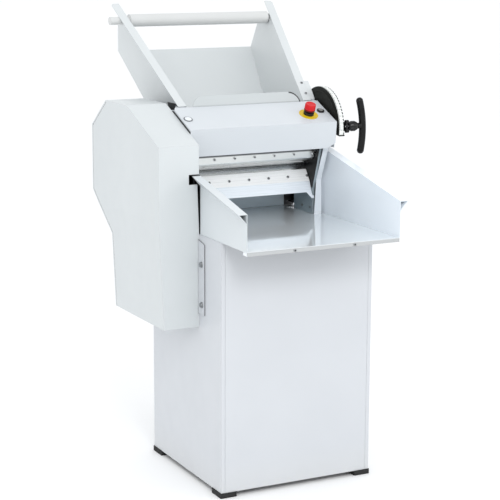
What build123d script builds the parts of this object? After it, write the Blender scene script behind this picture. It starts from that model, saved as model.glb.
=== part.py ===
from build123d import *
import os
from math import acos, atan2, cos, degrees, hypot, pi, radians, sin, tan

os.makedirs("parts", exist_ok=True)

# Dough sheeter. X runs along the rollers to the operator's right, Y runs back, Z is up.
# The origin is on the floor under the middle of the cabinet. Sizes are in millimetres.

# ---------------------------------------------------------------- driving sizes

# Materials and fits
sheet = 1.5
thick_sheet = 3.0
bend_radius = 3.0
running_fit = 0.05
sliding_fit = 0.15
part_gap = 0.5

# Cabinet
foot_height = 14.0
foot_length = 60.0
foot_width = 50.0
foot_overhang = 3.0
anchor_hole_radius = 5.5
cabinet_height = 704.0
cabinet_depth = 460.0
cabinet_side_room = 15.0
panel_return = 11.0
panel_fold = 15.0
base_angle_width = 30.0
deck_thickness = 3.0
vent_slot_length = 60.0
vent_slot_height = 6.0
vent_pitch = 16.0
vent_rows = 7
vent_columns = 3

# Rollers: the centre line leans forward, and the upper roller rises along it
roller_face = 390.0
roller_radius = 38.0
roller_end_gap = 1.0
roller_gap_closed = 0.8
roller_travel = 8.0
roller_lean = 24.9
lower_axis_y = 125.0
lower_axis_height = 115.0
journal_radius = 15.0
gear_journal_radius = 11.0
journal_clear_radius = 17.0

# Side frames and their covers
frame_plate = 8.0
cover_gap = 2.0
cover_depth = 14.0
frame_front_y = 49.0
frame_foot_back_y = 160.0
frame_foot_notch = 62.0
frame_knee_height = 76.0
frame_nose_y = 9.0
frame_nose_height = 196.0
frame_nose_room = 27.0
frame_brow_y = 62.0
frame_top_room = 39.0
frame_horn_y = 345.0
frame_horn_depth = 27.0
frame_waist_height = 137.0
frame_back_room = 5.0
cover_foot_room = 12.0
cover_front_reach = 12.0
cover_knee_reach = 10.0
cover_knee_rise = 28.0
cover_nose_reach = 9.0
cover_nose_rise = 4.0
cover_nose_room = 32.0
cover_top_room = 3.0
cover_back_reach = 6.0
cover_horn_room = 30.0
cover_waist_drop = 4.0
cover_screw_front_inset = 10.4
cover_screw_front_rise = 7.0
cover_screw_middle_inset = 58.7
cover_screw_middle_rise = 6.0
cover_screw_horn_inset = 20.0
cover_screw_horn_drop = 18.0
spacer_radius = 4.0
tie_bar_radius = 8.0
tie_nose_inset = 23.0
tie_foot_inset = 25.0
tie_foot_rise = 10.0
tie_horn_inset = 45.0
tie_horn_drop = 57.0

# Bearings
housing_depth = 14.0
housing_wall = 10.0
flange_corner = 8.0
block_boss_width = 56.0
block_boss_height = 60.0
block_plate = 8.0

# Cross shaft, eccentrics and yokes
dial_setback = 43.0
dial_height = 255.0
cross_shaft_radius = 11.0
eccentric_radius = 15.5
lever_swing = 120.0
yoke_clearance = 0.6
yoke_wall = 6.0
block_plate_margin = 5.0
neck_narrow = 18.0
neck_front = 22.0
neck_back = 28.0
neck_root = 20.0
arm_reach = 10.0
arm_drop = 14.0
arm_rise = 16.0
arm_half_height = 26.0

# Drive train, counted outward from the drive plate on the left
sync_teeth = 16
sync_gear_width = 16.0
drive_module = 3.0
drive_teeth = 52
pinion_teeth = 13
drive_gear_width = 16.0
gear_spacing = 4.0
plate_clearance = 8.0
countershaft_lean = 32.4
countershaft_radius = 12.0
driven_pulley_radius = 150.0
motor_pulley_radius = 35.0
pulley_width = 22.0
pulley_rim = 12.0
pulley_web = 8.0
pulley_holes = 6
pulley_hole_share = 0.33
belt_top_width = 13.0
belt_bottom_width = 8.0
belt_height = 9.0
motor_shaft_y = 86.0
motor_shaft_height = -158.0
motor_shaft_radius = 9.5
motor_radius = 68.0
motor_length = 190.0
motor_flange_depth = 12.0
motor_fin_share = 0.6
motor_fin_pitch = 12.0
motor_fin_width = 5.0
motor_fin_height = 5.0
motor_cowl_step = 4.0
motor_cowl_edge = 8.0
motor_box_setback = 20.0
motor_box_length = 70.0
motor_box_height = 37.0
motor_plate_margin = 22.0
motor_plate_corner = 10.0

# Drive casing, its outline as (Y, height above the deck)
casing_depth = 120.0
casing_taper = 15.0
casing_taper_height = 34.0
casing_seam = 6.0
casing_outline = [
    (-90, 246),
    (130, 338),
    (287, 337),
    (396, 257),
    (397, 63),
    (260, -48),
    (262, -266),
    (-89, -262),
]
casing_wall_gap = 5.4
casing_wall_gap_foot = 4.0
tray_notch_height = 27.5
tray_notch_room = 4.6
mounting_tab_reach = 38.0
mounting_tab_root = 30.0
mounting_tab_low = -222.0
mounting_tab_high = -23.0
mounting_tab_root_height = -15.0
mounting_bolt_radius = 7.0
mounting_bolt_head = 5.5
mounting_bolts = [(21.0, -81.0), (23.0, -194.0)]

# Hood
hood_left_room = 14.0
hood_right_room = 8.0
hood_bottom_height = 204.0
hood_bottom_y = -26.0
hood_bend_y = -34.0
hood_fall = 49.0
hood_top_y = 82.0
hood_top_room = 35.0
hood_back_y = 130.0
hood_cut_width = 25.0
hood_cut_height = 14.0
hood_step_depth = 8.0
hood_corner_cut = [(0, -9), (17, 22), (24, 28.5), (28, 48)]
hood_corner_step = [(0, -9), (7, 1), (16.5, 22), (4.5, 27.5), (0, 42)]
throat_half_width = 186.0
throat_side_room = 7.0
guard_half_width = 173.0
guard_corner = 36.0
guard_lip_height = 29.0
guard_lip_lean = 12.0
guard_rod_radius = 4.0

# Hopper
hopper_front_y = 93.5
hopper_front_half_width = 187.2
hopper_flare_back = 0.042
hopper_flare_up = 0.15
hopper_slope = 37.07
hopper_horn_y = 452.0
hopper_flange = 26.0
hopper_horn_corner = 9.0
hopper_seat_back_y = 478.0
hopper_seat_room = 5.0
hopper_tail_setback = 16.0
hopper_tail_depth = 30.0
feed_top_y = 506.0
feed_top_rise = 127.0
feed_bend_y = 330.0
feed_bend_drop = 45.0
feed_roller_gap = 4.0
feed_tip_angle = 56.7
guide_axis_y = 411.0
guide_axis_rise = 223.0
guide_radius = 18.5
guide_stub_radius = 11.5
guide_stub_left = 55.0
guide_stub_right = 14.0
bracket_sheet = 2.0
bracket_length = 67.0
bracket_wing = 11.0
bracket_wing_taper = 2.0
bracket_wing_length = 21.0
bracket_inner_rise = 10.0
bracket_screw_setbacks = [(15.0, 58.5), (20.0, 22.5)]
lug_front_y = 240.0
lug_length = 30.0
lug_height = 18.0

# Tray
tray_front_y = -376.0
tray_back_y = 60.0
tray_wall_front_height = 102.0
tray_wall_back_height = 195.7
tray_flange = 26.0
tray_hem = 27.0
tray_lip = 10.0
tray_lip_return = 24.0
tray_rail_inset = 26.0
tray_rail_width = 15.0
tray_floor_room = 20.0
tray_screw_x = 91.0

# Scrapers
scraper_screws = 7
scraper_screw_margin = 4.5
scraper_thickness = 2.0
scraper_standoff = 16.7
scraper_top_rise = 12.5
scraper_bend_drop = 15.0
scraper_screw_drop = 2.7
scraper_corner = 14.0
scraper_corner_lift = 7.0
scraper_end_room = 2.0
scraper_bar_thickness = 8.0
scraper_bar_height = 20.0
blade_angle = 219.7
chute_tip_place = (-38.5, 14.2)
chute_bend_place = (-62.0, -18.0)
chute_foot_place = (-75.0, -49.0)
chute_bar_thickness = 6.0
chute_bar_width = 14.0
chute_bar_rise = 17.0
chute_tab = [(178, 0), (194.5, 0), (195.5, 9), (200, 12), (200, 19), (192, 19)]
screw_head_radius = 4.0
screw_head_height = 2.0
screw_shank_radius = 2.0

# Quadrant, lever and T-handle
dial_radius = 115.0
dial_rim = 6.0
dial_width = 17.6
dial_plate = 4.0
dial_start = -8.0
dial_end = 150.0
dial_standoff = 8.0
dial_ridge_setback = 10.0
dial_ridge_width = 4.0
dial_ridge_height = 2.0
dial_scale_thickness = 0.8
dial_foot_length = 18.0
notch_pitch = 5.0
notch_depth = 3.0
notch_width = 4.0
lever_angle = 4.9
lever_reach = 117.0
lever_plate = 6.0
lever_gap = 2.5
knob_radius = 6.5
knob_spacing = 12.0
pin_radius = 3.5
barrel_radius = 15.0
barrel_length = 29.0
barrel_gap = 3.0
handle_neck_radius = 8.5
handle_neck_length = 10.0
grip_radius = 10.3
grip_length = 164.0
grip_bow = 11.0
plunger_travel = 8.0

# Controls on the hood
stop_x = 160.0
stop_along = 50.0
stop_ring_radius = 28.0
stop_head_radius = 16.0
stop_height = 35.0
stop_travel = 4.0
stop_neck_radius = 11.0
stop_collar_height = 8.0
stop_ring_thickness = 1.2
stop_block_size = 30.0
stop_block_depth = 35.0
stop_stem_radius = 5.0
stop_stem_depth = 12.0
stop_head_round = 3.5
start_x = 207.0
start_along = 65.0
start_ring_radius = 11.0
start_button_radius = 7.0
start_travel = 2.5
start_body_depth = 14.0
start_ring_height = 3.0
plug_x = -216.0
plug_along = 60.0
plug_radius = 13.0
plug_ring_width = 3.0
plug_ring_height = 2.0
plug_dome_height = 3.5

# ---------------------------------------------------------------- worked-out places

deck_z = foot_height + cabinet_height
lean = radians(roller_lean)
across = (cos(lean), sin(lean))
rise = (-sin(lean), cos(lean))
roller_spacing = 2 * roller_radius + roller_gap_closed
lower_axis = (lower_axis_y, deck_z + lower_axis_height)
upper_axis = (
    lower_axis[0] + roller_spacing * rise[0],
    lower_axis[1] + roller_spacing * rise[1],
)
frame_inner = roller_face / 2 + roller_end_gap
frame_outer = frame_inner + frame_plate
cover_inner = frame_outer + cover_gap
cover_outer = cover_inner + cover_depth
cabinet_half_width = cover_outer + cabinet_side_room
cabinet_half_depth = cabinet_depth / 2
frame_top_height = dial_height + frame_top_room
frame_back_y = cabinet_half_depth - frame_back_room
floor_back_y = frame_back_y - tray_floor_room
hood_top_height = frame_top_height + hood_top_room
hood_bend_height = hood_top_height - hood_fall
dial_axis = (lower_axis_y - dial_setback, deck_z + dial_height)
drive_plate_outer = cabinet_half_width + thick_sheet
sync_gear_x = drive_plate_outer + plate_clearance
drive_gear_x = sync_gear_x + sync_gear_width + gear_spacing
pulley_x = drive_gear_x + drive_gear_width + 2 * gear_spacing
gear_distance = drive_module * (drive_teeth + pinion_teeth) / 2
counter_axis = (
    lower_axis[0] + gear_distance * cos(radians(countershaft_lean)),
    lower_axis[1] + gear_distance * sin(radians(countershaft_lean)),
)
motor_axis = (motor_shaft_y, deck_z + motor_shaft_height)
hood_left = -(cover_outer + hood_left_room)
hood_right = cover_outer + hood_right_room
hood_slope = atan2(hood_top_height - hood_bend_height, hood_top_y - hood_bend_y)
tray_half_width = cabinet_half_width - 2 * sheet - part_gap


def above_deck(points):
    """Turn (Y, height above the deck) points into (Y, Z) points."""
    return [(y, deck_z + height) for y, height in points]


# ---------------------------------------------------------------- shapes used by many pieces


def along_x(section, x_from, x_to):
    """Pull a flat (Y, Z) section out along X, from one place to another."""
    outward = 1 if x_to > x_from else -1
    return extrude(Plane.YZ.offset(x_from) * section, abs(x_to - x_from), dir=(outward, 0, 0))


def side_plate(points, x_from, x_to):
    """A plate with a (Y, Z) outline, between two places along X."""
    return along_x(make_face(Polyline(*points, close=True)), x_from, x_to)


def bar(x_from, x_to, centre, radius):
    """A round bar along X."""
    return along_x(Pos(*centre) * Circle(radius), x_from, x_to)


def box_between(low, high):
    """A block between two corners."""
    size = [b - a for a, b in zip(low, high)]
    middle = [(a + b) / 2 for a, b in zip(low, high)]
    return Pos(*middle) * Box(*size)


def bent_sheet(points, thickness, x_from, x_to, side=Side.LEFT, radius=bend_radius):
    """Sheet folded along X: the (Y, Z) line is one face, the thickness lies on one side of it."""
    line = FilletPolyline(*points, radius=radius)
    profile = make_face(offset(line, amount=thickness, side=side))
    return along_x(profile, x_from, x_to)


def turned(points, centre):
    """A turned piece about an axis along X, from its closed (X, radius) section."""
    section = make_face(Polyline(*points, close=True))
    return Pos(0, *centre) * revolve(section, Axis.X)


def both_sides(shape):
    """The piece and its mirror image on the other side of the machine."""
    return Part() + [shape, mirror(shape, about=Plane.YZ)]


def beside(place, back, up):
    """(Y, Z) of a point so far back across the roller centre line from a place and so far up it."""
    y = place[0] + back * across[0] + up * rise[0]
    z = place[1] + back * across[1] + up * rise[1]
    return (y, z)


def lean_plane(centre, x_from):
    """Plane across X whose own Y runs up the roller centre line."""
    return Plane((x_from, *centre), x_dir=(0, *across), z_dir=(1, 0, 0))


def journal_slot(x_from, radius, depth):
    """Cutter that lets the upper roller's journal through a plate as it rises."""
    slot = SlotCenterToCenter(roller_travel, 2 * radius)
    plane = lean_plane(upper_axis, x_from)
    return extrude(plane * Pos(0, roller_travel / 2) * Rot(0, 0, 90) * slot, depth)


def gear(teeth, module, addendum, dedendum, share, centre, first_tooth, x_from, x_to, bore):
    """Spur gear: each flank is an arc through three points of its involute."""
    pitch_radius = module * teeth / 2
    pressure = radians(20)
    base_radius = pitch_radius * cos(pressure)
    root_radius = pitch_radius - dedendum
    tip_radius = pitch_radius + addendum

    def half_angle(radius):
        roll = acos(min(1.0, base_radius / radius))
        pitch_roll = tan(pressure) - pressure
        return share * pi / (2 * teeth) + pitch_roll - (tan(roll) - roll)

    def at(radius, angle):
        return (radius * cos(angle), radius * sin(angle))

    middle_radius = (max(base_radius, root_radius) + tip_radius) / 2
    foot_half_angle = half_angle(max(base_radius, root_radius))
    middle_half_angle = half_angle(middle_radius)
    tip_half_angle = half_angle(tip_radius)
    edges = []
    for number in range(teeth):
        tooth = radians(first_tooth) + 2 * pi * number / teeth
        following = tooth + 2 * pi / teeth
        rising_foot = at(root_radius, tooth - foot_half_angle)
        rising_tip = at(tip_radius, tooth - tip_half_angle)
        falling_tip = at(tip_radius, tooth + tip_half_angle)
        falling_foot = at(root_radius, tooth + foot_half_angle)
        rising_middle = at(middle_radius, tooth - middle_half_angle)
        falling_middle = at(middle_radius, tooth + middle_half_angle)
        edges.append(ThreePointArc(rising_foot, rising_middle, rising_tip))
        edges.append(Line(rising_tip, falling_tip))
        edges.append(ThreePointArc(falling_tip, falling_middle, falling_foot))
        edges.append(Line(falling_foot, at(root_radius, following - foot_half_angle)))
    outline = Pos(*centre) * make_face(Wire(edges))
    hole = Pos(*centre) * Circle(bore)
    return along_x(outline - hole, x_from, x_to)


parts = {}

# ---------------------------------------------------------------- cabinet

foot_x = cabinet_half_width + foot_overhang - foot_width / 2
foot_y = cabinet_half_depth + foot_overhang - foot_length / 2
foot_places = [(x, y) for x in (-foot_x, foot_x) for y in (-foot_y, foot_y)]


def make_rubber_feet():
    """Four rubber pads, each with a hole for a floor anchor."""
    pad = extrude(RectangleRounded(foot_width, foot_length, bend_radius), foot_height)
    pad -= extrude(Circle(anchor_hole_radius), foot_height)
    return Part() + [Pos(x, y, 0) * pad for x, y in foot_places]


def make_base_frame():
    """Ring of angle section inside the foot of the cabinet, on the pads."""
    half_x = cabinet_half_width - panel_return - sheet - 2 * part_gap
    half_y = cabinet_half_depth - panel_fold - part_gap
    ring = Rectangle(2 * half_x, 2 * half_y)
    inner = Rectangle(2 * (half_x - thick_sheet), 2 * (half_y - thick_sheet))
    window = Rectangle(2 * (half_x - base_angle_width), 2 * (half_y - base_angle_width))
    upright = extrude(ring - inner, base_angle_width)
    flat = extrude(ring - window, thick_sheet)
    frame = upright + flat
    for x, y in foot_places:
        frame -= Pos(x, y, 0) * extrude(Circle(anchor_hole_radius), thick_sheet)
    return Pos(0, 0, foot_height) * frame


panel_top = deck_z - deck_thickness


def make_cabinet_side():
    """Left side panel: a web with a return and an inward fold at its front and back edges."""
    outer = -cabinet_half_width
    inner = outer + panel_return
    front = -cabinet_half_depth
    line = Polyline(
        (inner, front + panel_fold),
        (inner, front),
        (outer, front),
        (outer, -front),
        (inner, -front),
        (inner, -front - panel_fold),
    )
    profile = make_face(offset(line, amount=sheet, side=Side.RIGHT, kind=Kind.INTERSECTION))
    return Pos(0, 0, foot_height) * extrude(profile, panel_top - foot_height)


def make_cabinet_front():
    """Front panel, set between the returns of the side panels, with folds behind its edges."""
    half = cabinet_half_width - panel_return - part_gap
    front = -cabinet_half_depth
    line = Polyline(
        (-half, front + panel_fold),
        (-half, front),
        (half, front),
        (half, front + panel_fold),
    )
    profile = make_face(offset(line, amount=sheet, side=Side.LEFT, kind=Kind.INTERSECTION))
    return Pos(0, 0, foot_height) * extrude(profile, panel_top - foot_height)


def make_cabinet_rear():
    """Rear panel with rows of cooling slots behind the motor."""
    panel = mirror(make_cabinet_front(), about=Plane.XZ)
    slot = extrude(SlotOverall(vent_slot_length, vent_slot_height), 4 * sheet, both=True)
    slot = Rot(90, 0, 0) * slot
    for column in range(vent_columns):
        for row in range(vent_rows):
            x = (column - (vent_columns - 1) / 2) * vent_slot_length * 1.3
            z = motor_axis[1] + (row - (vent_rows - 1) / 2) * vent_pitch
            panel -= Pos(x, cabinet_half_depth, z) * slot
    return panel


def make_deck():
    """Plate that closes the cabinet and carries the side frames."""
    deck = Rectangle(2 * cabinet_half_width, cabinet_depth)
    return Pos(0, 0, panel_top) * extrude(deck, deck_thickness)


parts["rubber_feet"] = make_rubber_feet()
parts["base_frame"] = make_base_frame()
motor_hole = bar(
    -cabinet_half_width - sheet, -cabinet_half_width + 2 * sheet, motor_axis, 2 * motor_shaft_radius
)
parts["cabinet_left"] = make_cabinet_side() - motor_hole
parts["cabinet_right"] = mirror(make_cabinet_side(), about=Plane.YZ)
parts["cabinet_front"] = make_cabinet_front()
parts["cabinet_rear"] = make_cabinet_rear()
parts["deck_plate"] = make_deck()

# ---------------------------------------------------------------- side frames

frame_outline = above_deck(
    [
        (frame_front_y, 0),
        (frame_front_y, frame_knee_height),
        (frame_nose_y, frame_nose_height),
        (frame_nose_y, frame_top_height - frame_nose_room),
        (frame_brow_y, frame_top_height),
        (frame_horn_y, frame_top_height),
        (frame_horn_y, frame_top_height - frame_horn_depth),
        (frame_back_y, frame_waist_height),
        (frame_back_y, frame_foot_notch),
        (frame_foot_back_y, frame_foot_notch),
        (frame_foot_back_y, 0),
    ]
)
lower_housing_radius = journal_radius + housing_wall
counter_housing_radius = countershaft_radius + housing_wall
scraper_face_y = upper_axis[0] - roller_radius - scraper_standoff
scraper_screw_z = upper_axis[1] - scraper_screw_drop
scraper_bar_centre = (scraper_face_y + scraper_thickness + scraper_bar_thickness / 2, scraper_screw_z)
tie_places = above_deck(
    [
        (frame_nose_y + tie_nose_inset, frame_top_height - frame_top_room),
        (frame_back_y - tie_foot_inset, frame_foot_notch + tie_foot_rise),
        (frame_horn_y - tie_horn_inset, frame_top_height - tie_horn_drop),
    ]
)
cover_screw_places = above_deck(
    [
        (frame_front_y + cover_screw_front_inset, cover_foot_room + cover_screw_front_rise),
        (frame_front_y + cover_screw_middle_inset, cover_foot_room + cover_screw_middle_rise),
        (frame_horn_y - cover_screw_horn_inset, frame_top_height - cover_screw_horn_drop),
    ]
)


def make_side_frame():
    """Right side frame: bearing holes, a window for the bearing block, a bar slot and spacers."""
    frame = side_plate(frame_outline, frame_inner, frame_outer)
    frame -= bar(frame_inner, frame_outer, lower_axis, lower_housing_radius - housing_wall / 2)
    frame -= bar(frame_inner, frame_outer, dial_axis, cross_shaft_radius + running_fit)
    window_height = block_boss_height + roller_travel + 2 * part_gap
    window = RectangleRounded(block_boss_width + 2 * sliding_fit, window_height, bend_radius)
    plane = lean_plane(upper_axis, frame_inner)
    frame -= extrude(plane * Pos(0, roller_travel / 2) * window, frame_plate)
    slot_width = scraper_bar_thickness * cos(lean) + scraper_bar_height * sin(lean) + 4 * part_gap
    slot_height = scraper_bar_height * cos(lean) + scraper_bar_thickness * sin(lean)
    slot_height += roller_travel + 4 * part_gap
    slot_plane = lean_plane(scraper_bar_centre, frame_inner)
    frame -= extrude(slot_plane * Pos(0, roller_travel / 2) * Rectangle(slot_width, slot_height), frame_plate)
    for place in cover_screw_places:
        frame += bar(frame_outer, cover_outer - sheet, place, spacer_radius)
        frame -= bar(frame_inner, cover_outer - sheet, place, screw_shank_radius)
    return frame


parts["side_frame_right"] = make_side_frame()
left_frame = mirror(make_side_frame(), about=Plane.YZ)
counter_hole = bar(-frame_inner, -frame_outer, counter_axis, counter_housing_radius - housing_wall / 2)
parts["side_frame_left"] = left_frame - counter_hole
tie_bars = [bar(-frame_inner, frame_inner, place, tie_bar_radius) for place in tie_places]

# ---------------------------------------------------------------- side covers

cover_outline = above_deck(
    [
        (frame_front_y - cover_front_reach, cover_foot_room),
        (frame_front_y - cover_knee_reach, frame_knee_height + cover_knee_rise),
        (frame_nose_y - cover_nose_reach, frame_nose_height + cover_nose_rise),
        (frame_nose_y - cover_nose_reach, frame_top_height - cover_nose_room),
        (frame_brow_y, frame_top_height - cover_top_room),
        (frame_horn_y + cover_back_reach, frame_top_height - cover_top_room),
        (frame_horn_y + cover_back_reach, frame_top_height - cover_horn_room),
        (frame_back_y + cover_back_reach, frame_waist_height - cover_waist_drop),
        (frame_back_y + cover_back_reach, cover_foot_room),
    ]
)


def make_side_cover():
    """Right side cover: a pan whose rim stands off the side frame."""
    pan = side_plate(cover_outline, cover_inner, cover_outer)
    cover = offset(pan, amount=-sheet, openings=pan.faces().sort_by(Axis.X)[0])
    for place in cover_screw_places:
        cover -= bar(cover_inner, cover_outer, place, screw_shank_radius)
    return cover


side_cover = make_side_cover()
right_cover = side_cover - bar(cover_inner, cover_outer, dial_axis, cross_shaft_radius + part_gap)
left_cover = mirror(side_cover, about=Plane.YZ)
lower_hole = bar(-cover_inner, -cover_outer, lower_axis, journal_radius + part_gap)
upper_hole = journal_slot(-cover_outer, journal_radius + part_gap, cover_depth)
counter_cover_hole = bar(-cover_inner, -cover_outer, counter_axis, countershaft_radius + part_gap)
left_cover -= lower_hole + upper_hole + counter_cover_hole
parts["side_covers"] = Part() + [left_cover, right_cover]


def make_rear_cover():
    """Sheet that closes the back between the side frames, from the deck up to the feed plate."""
    line = above_deck(
        [
            (frame_back_y, 0),
            (frame_back_y, frame_waist_height),
            (frame_horn_y, frame_top_height - frame_horn_depth),
        ]
    )
    half = frame_inner - part_gap
    return bent_sheet(line, sheet, -half, half, side=Side.LEFT)


parts["rear_cover"] = make_rear_cover()

# ---------------------------------------------------------------- lower roller and its bearings

half_face = roller_face / 2
journal_end = frame_outer + housing_depth
shaft_end = drive_gear_x + drive_gear_width + gear_spacing / 2


def make_lower_roller():
    """Roller with its journals; the left one runs out through the drive plate to two gears."""
    section = [
        (-shaft_end, 0),
        (-shaft_end, gear_journal_radius),
        (-sync_gear_x, gear_journal_radius),
        (-sync_gear_x, journal_radius),
        (-half_face, journal_radius),
        (-half_face, roller_radius),
        (half_face, roller_radius),
        (half_face, journal_radius),
        (journal_end, journal_radius),
        (journal_end, 0),
    ]
    return turned(section, lower_axis)


def make_bearing_housing(x_from, shaft_radius, centre, seat):
    """Flanged bearing housing: a square flange on the plate and a round hub, bored for its shaft."""
    hub_radius = shaft_radius + housing_wall
    flange_size = 2 * (hub_radius + flange_corner)
    outward = 1 if x_from > 0 else -1
    plane = Plane.YZ.offset(x_from)
    flange = extrude(
        plane * Pos(*centre) * RectangleRounded(flange_size, flange_size, flange_corner),
        outward * housing_depth * 0.4,
    )
    hub = bar(x_from, x_from + outward * housing_depth, centre, hub_radius)
    spigot = bar(x_from, x_from - outward * seat, centre, hub_radius - housing_wall / 2 - running_fit)
    bore = bar(
        x_from - outward * seat,
        x_from + outward * housing_depth,
        centre,
        shaft_radius + running_fit,
    )
    return flange + hub + spigot - bore


parts["lower_roller"] = make_lower_roller()
parts["lower_bearings"] = both_sides(
    make_bearing_housing(frame_outer, journal_radius, lower_axis, frame_plate)
)

# ---------------------------------------------------------------- upper roller in its sliding blocks

block_inner = frame_inner + part_gap
block_plate_x = frame_outer + part_gap
block_end = block_plate_x + block_plate
bush_radius = journal_radius + 5.0
upper_shaft_end = sync_gear_x + sync_gear_width + gear_spacing / 2
eccentric_throw = roller_travel / (2 * sin(radians(lever_swing / 2)))
half_swing = radians(lever_swing / 2)
yoke_centre = beside(dial_axis, 0, -roller_travel / 2)
eccentric_centre = beside(
    dial_axis,
    -eccentric_throw * cos(half_swing),
    -eccentric_throw * sin(half_swing),
)


def make_upper_roller():
    """Roller with its journals; the left one carries the upper long-tooth gear."""
    section = [
        (-upper_shaft_end, 0),
        (-upper_shaft_end, gear_journal_radius),
        (-sync_gear_x, gear_journal_radius),
        (-sync_gear_x, journal_radius),
        (-half_face, journal_radius),
        (-half_face, roller_radius),
        (half_face, roller_radius),
        (half_face, journal_radius),
        (block_end, journal_radius),
        (block_end, 0),
    ]
    return turned(section, upper_axis)


def make_bearing_block():
    """Right bearing block: a boss that slides in the frame, a plate outside it and a yoke above."""
    plane = lean_plane(upper_axis, block_plate_x)
    boss_plane = lean_plane(upper_axis, block_inner)
    boss_section = RectangleRounded(block_boss_width, block_boss_height, bend_radius + part_gap)
    boss = extrude(boss_plane * boss_section, block_plate_x - block_inner)
    plate = extrude(
        plane
        * RectangleRounded(
            block_boss_width + 2 * block_plate_margin,
            block_boss_height + 2 * block_plate_margin,
            flange_corner,
        ),
        block_plate,
    )
    yoke_plane = lean_plane(yoke_centre, block_plate_x)
    slot_half_width = eccentric_radius + eccentric_throw + 2 * part_gap
    slot_half_height = eccentric_radius + yoke_clearance
    yoke = extrude(
        yoke_plane
        * RectangleRounded(
            2 * (slot_half_width + yoke_wall),
            2 * (slot_half_height + yoke_wall),
            flange_corner,
        ),
        block_plate,
    )
    neck = side_plate(
        [
            beside(upper_axis, -neck_front, neck_root),
            beside(upper_axis, neck_back, neck_root),
            beside(yoke_centre, neck_narrow, -neck_narrow),
            beside(yoke_centre, -neck_narrow, -neck_narrow),
        ],
        block_plate_x,
        block_end,
    )
    arm = side_plate(
        [
            (scraper_bar_centre[0] - arm_reach, scraper_bar_centre[1] - arm_drop),
            (upper_axis[0], upper_axis[1] - arm_half_height),
            (upper_axis[0], upper_axis[1] + arm_half_height),
            (scraper_bar_centre[0] - arm_reach, scraper_bar_centre[1] + arm_rise),
        ],
        block_plate_x,
        block_end,
    )
    yoke_slot = extrude(yoke_plane * Rectangle(2 * slot_half_width, 2 * slot_half_height), block_plate)
    bar_hole = box_between(
        (
            block_plate_x,
            scraper_bar_centre[0] - scraper_bar_thickness / 2,
            scraper_bar_centre[1] - scraper_bar_height / 2,
        ),
        (
            block_end,
            scraper_bar_centre[0] + scraper_bar_thickness / 2,
            scraper_bar_centre[1] + scraper_bar_height / 2,
        ),
    )
    bore = bar(block_inner, block_end, upper_axis, bush_radius)
    return boss + plate + yoke + neck + arm - yoke_slot - bar_hole - bore


def make_bush():
    """Bronze bush of the right block."""
    bush = bar(block_inner, block_end, upper_axis, bush_radius)
    return bush - bar(block_inner, block_end, upper_axis, journal_radius + running_fit)


parts["upper_roller"] = make_upper_roller()
parts["bearing_blocks"] = both_sides(make_bearing_block())
parts["upper_bushes"] = both_sides(make_bush())


def make_eccentrics():
    """Two discs set off-centre on the cross shaft, one in each yoke."""
    disc = bar(block_plate_x + part_gap, block_end - part_gap, eccentric_centre, eccentric_radius)
    return both_sides(disc)


dial_inner = hood_right + dial_standoff
dial_outer = dial_inner + dial_width
lever_inner = dial_outer + lever_gap
lever_outer = lever_inner + lever_plate
parts["cross_shaft"] = bar(-block_end, lever_outer, dial_axis, cross_shaft_radius) + make_eccentrics()

# ---------------------------------------------------------------- scrapers


def screw(axis_from, direction, shank_length):
    """Round-headed screw whose head sits at a place and whose shank runs along a direction."""
    plane = Plane(axis_from, z_dir=direction)
    head = extrude(plane * Circle(screw_head_radius), -screw_head_height)
    shank = extrude(plane * Circle(screw_shank_radius), shank_length)
    return head + shank


def row_x():
    """Places of the scraper screws along X."""
    first = roller_face / 2 - scraper_screw_margin
    pitch = 2 * first / (scraper_screws - 1)
    return [number * pitch - first for number in range(scraper_screws)]


scraper_top_z = upper_axis[1] + scraper_top_rise
scraper_bend_z = upper_axis[1] - scraper_bend_drop
blade_reach = roller_radius + part_gap
blade_tip = (
    upper_axis[0] + blade_reach * cos(radians(blade_angle)),
    upper_axis[1] + blade_reach * sin(radians(blade_angle)),
)
scraper_end = half_face - scraper_end_room


def make_upper_scraper():
    """Scraper strip: a screwed-on face with rounded lower corners, bent back to the roller."""
    face = scraper_face_y + scraper_thickness
    strip = bent_sheet(
        [(face, scraper_top_z), (face, scraper_bend_z), blade_tip],
        scraper_thickness,
        -scraper_end,
        scraper_end,
        side=Side.RIGHT,
    )
    height = scraper_top_z - blade_tip[1] + 4 * scraper_thickness
    outline = Rectangle(2 * scraper_end, 2 * height)
    outline = fillet(outline.vertices(), scraper_corner)
    clip_plane = Plane((0, 0, scraper_top_z), x_dir=(1, 0, 0), z_dir=(0, -1, 0))
    strip &= extrude(clip_plane * Pos(0, scraper_corner_lift) * outline, roller_radius * 4, both=True)
    for x in row_x():
        strip -= Plane((x, scraper_face_y, scraper_screw_z), z_dir=(0, 1, 0)) * Cylinder(
            screw_shank_radius, 4 * scraper_thickness
        )
    return strip


def make_scraper_bar():
    """Bar behind the scraper strip; its ends sit in the bearing blocks."""
    low = (
        -block_end,
        scraper_face_y + scraper_thickness,
        scraper_screw_z - scraper_bar_height / 2,
    )
    high = (
        block_end,
        scraper_face_y + scraper_thickness + scraper_bar_thickness,
        scraper_screw_z + scraper_bar_height / 2,
    )
    piece = box_between(low, high)
    for x in row_x():
        piece -= Plane((x, low[1], scraper_screw_z), z_dir=(0, 1, 0)) * Cylinder(
            screw_shank_radius, scraper_bar_thickness * 4
        )
    return piece


parts["upper_scraper"] = make_upper_scraper()
parts["scraper_bar"] = make_scraper_bar()
parts["scraper_screws"] = Part() + [
    screw((x, scraper_face_y, scraper_screw_z), (0, 1, 0), scraper_thickness + scraper_bar_thickness)
    for x in row_x()
]

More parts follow.
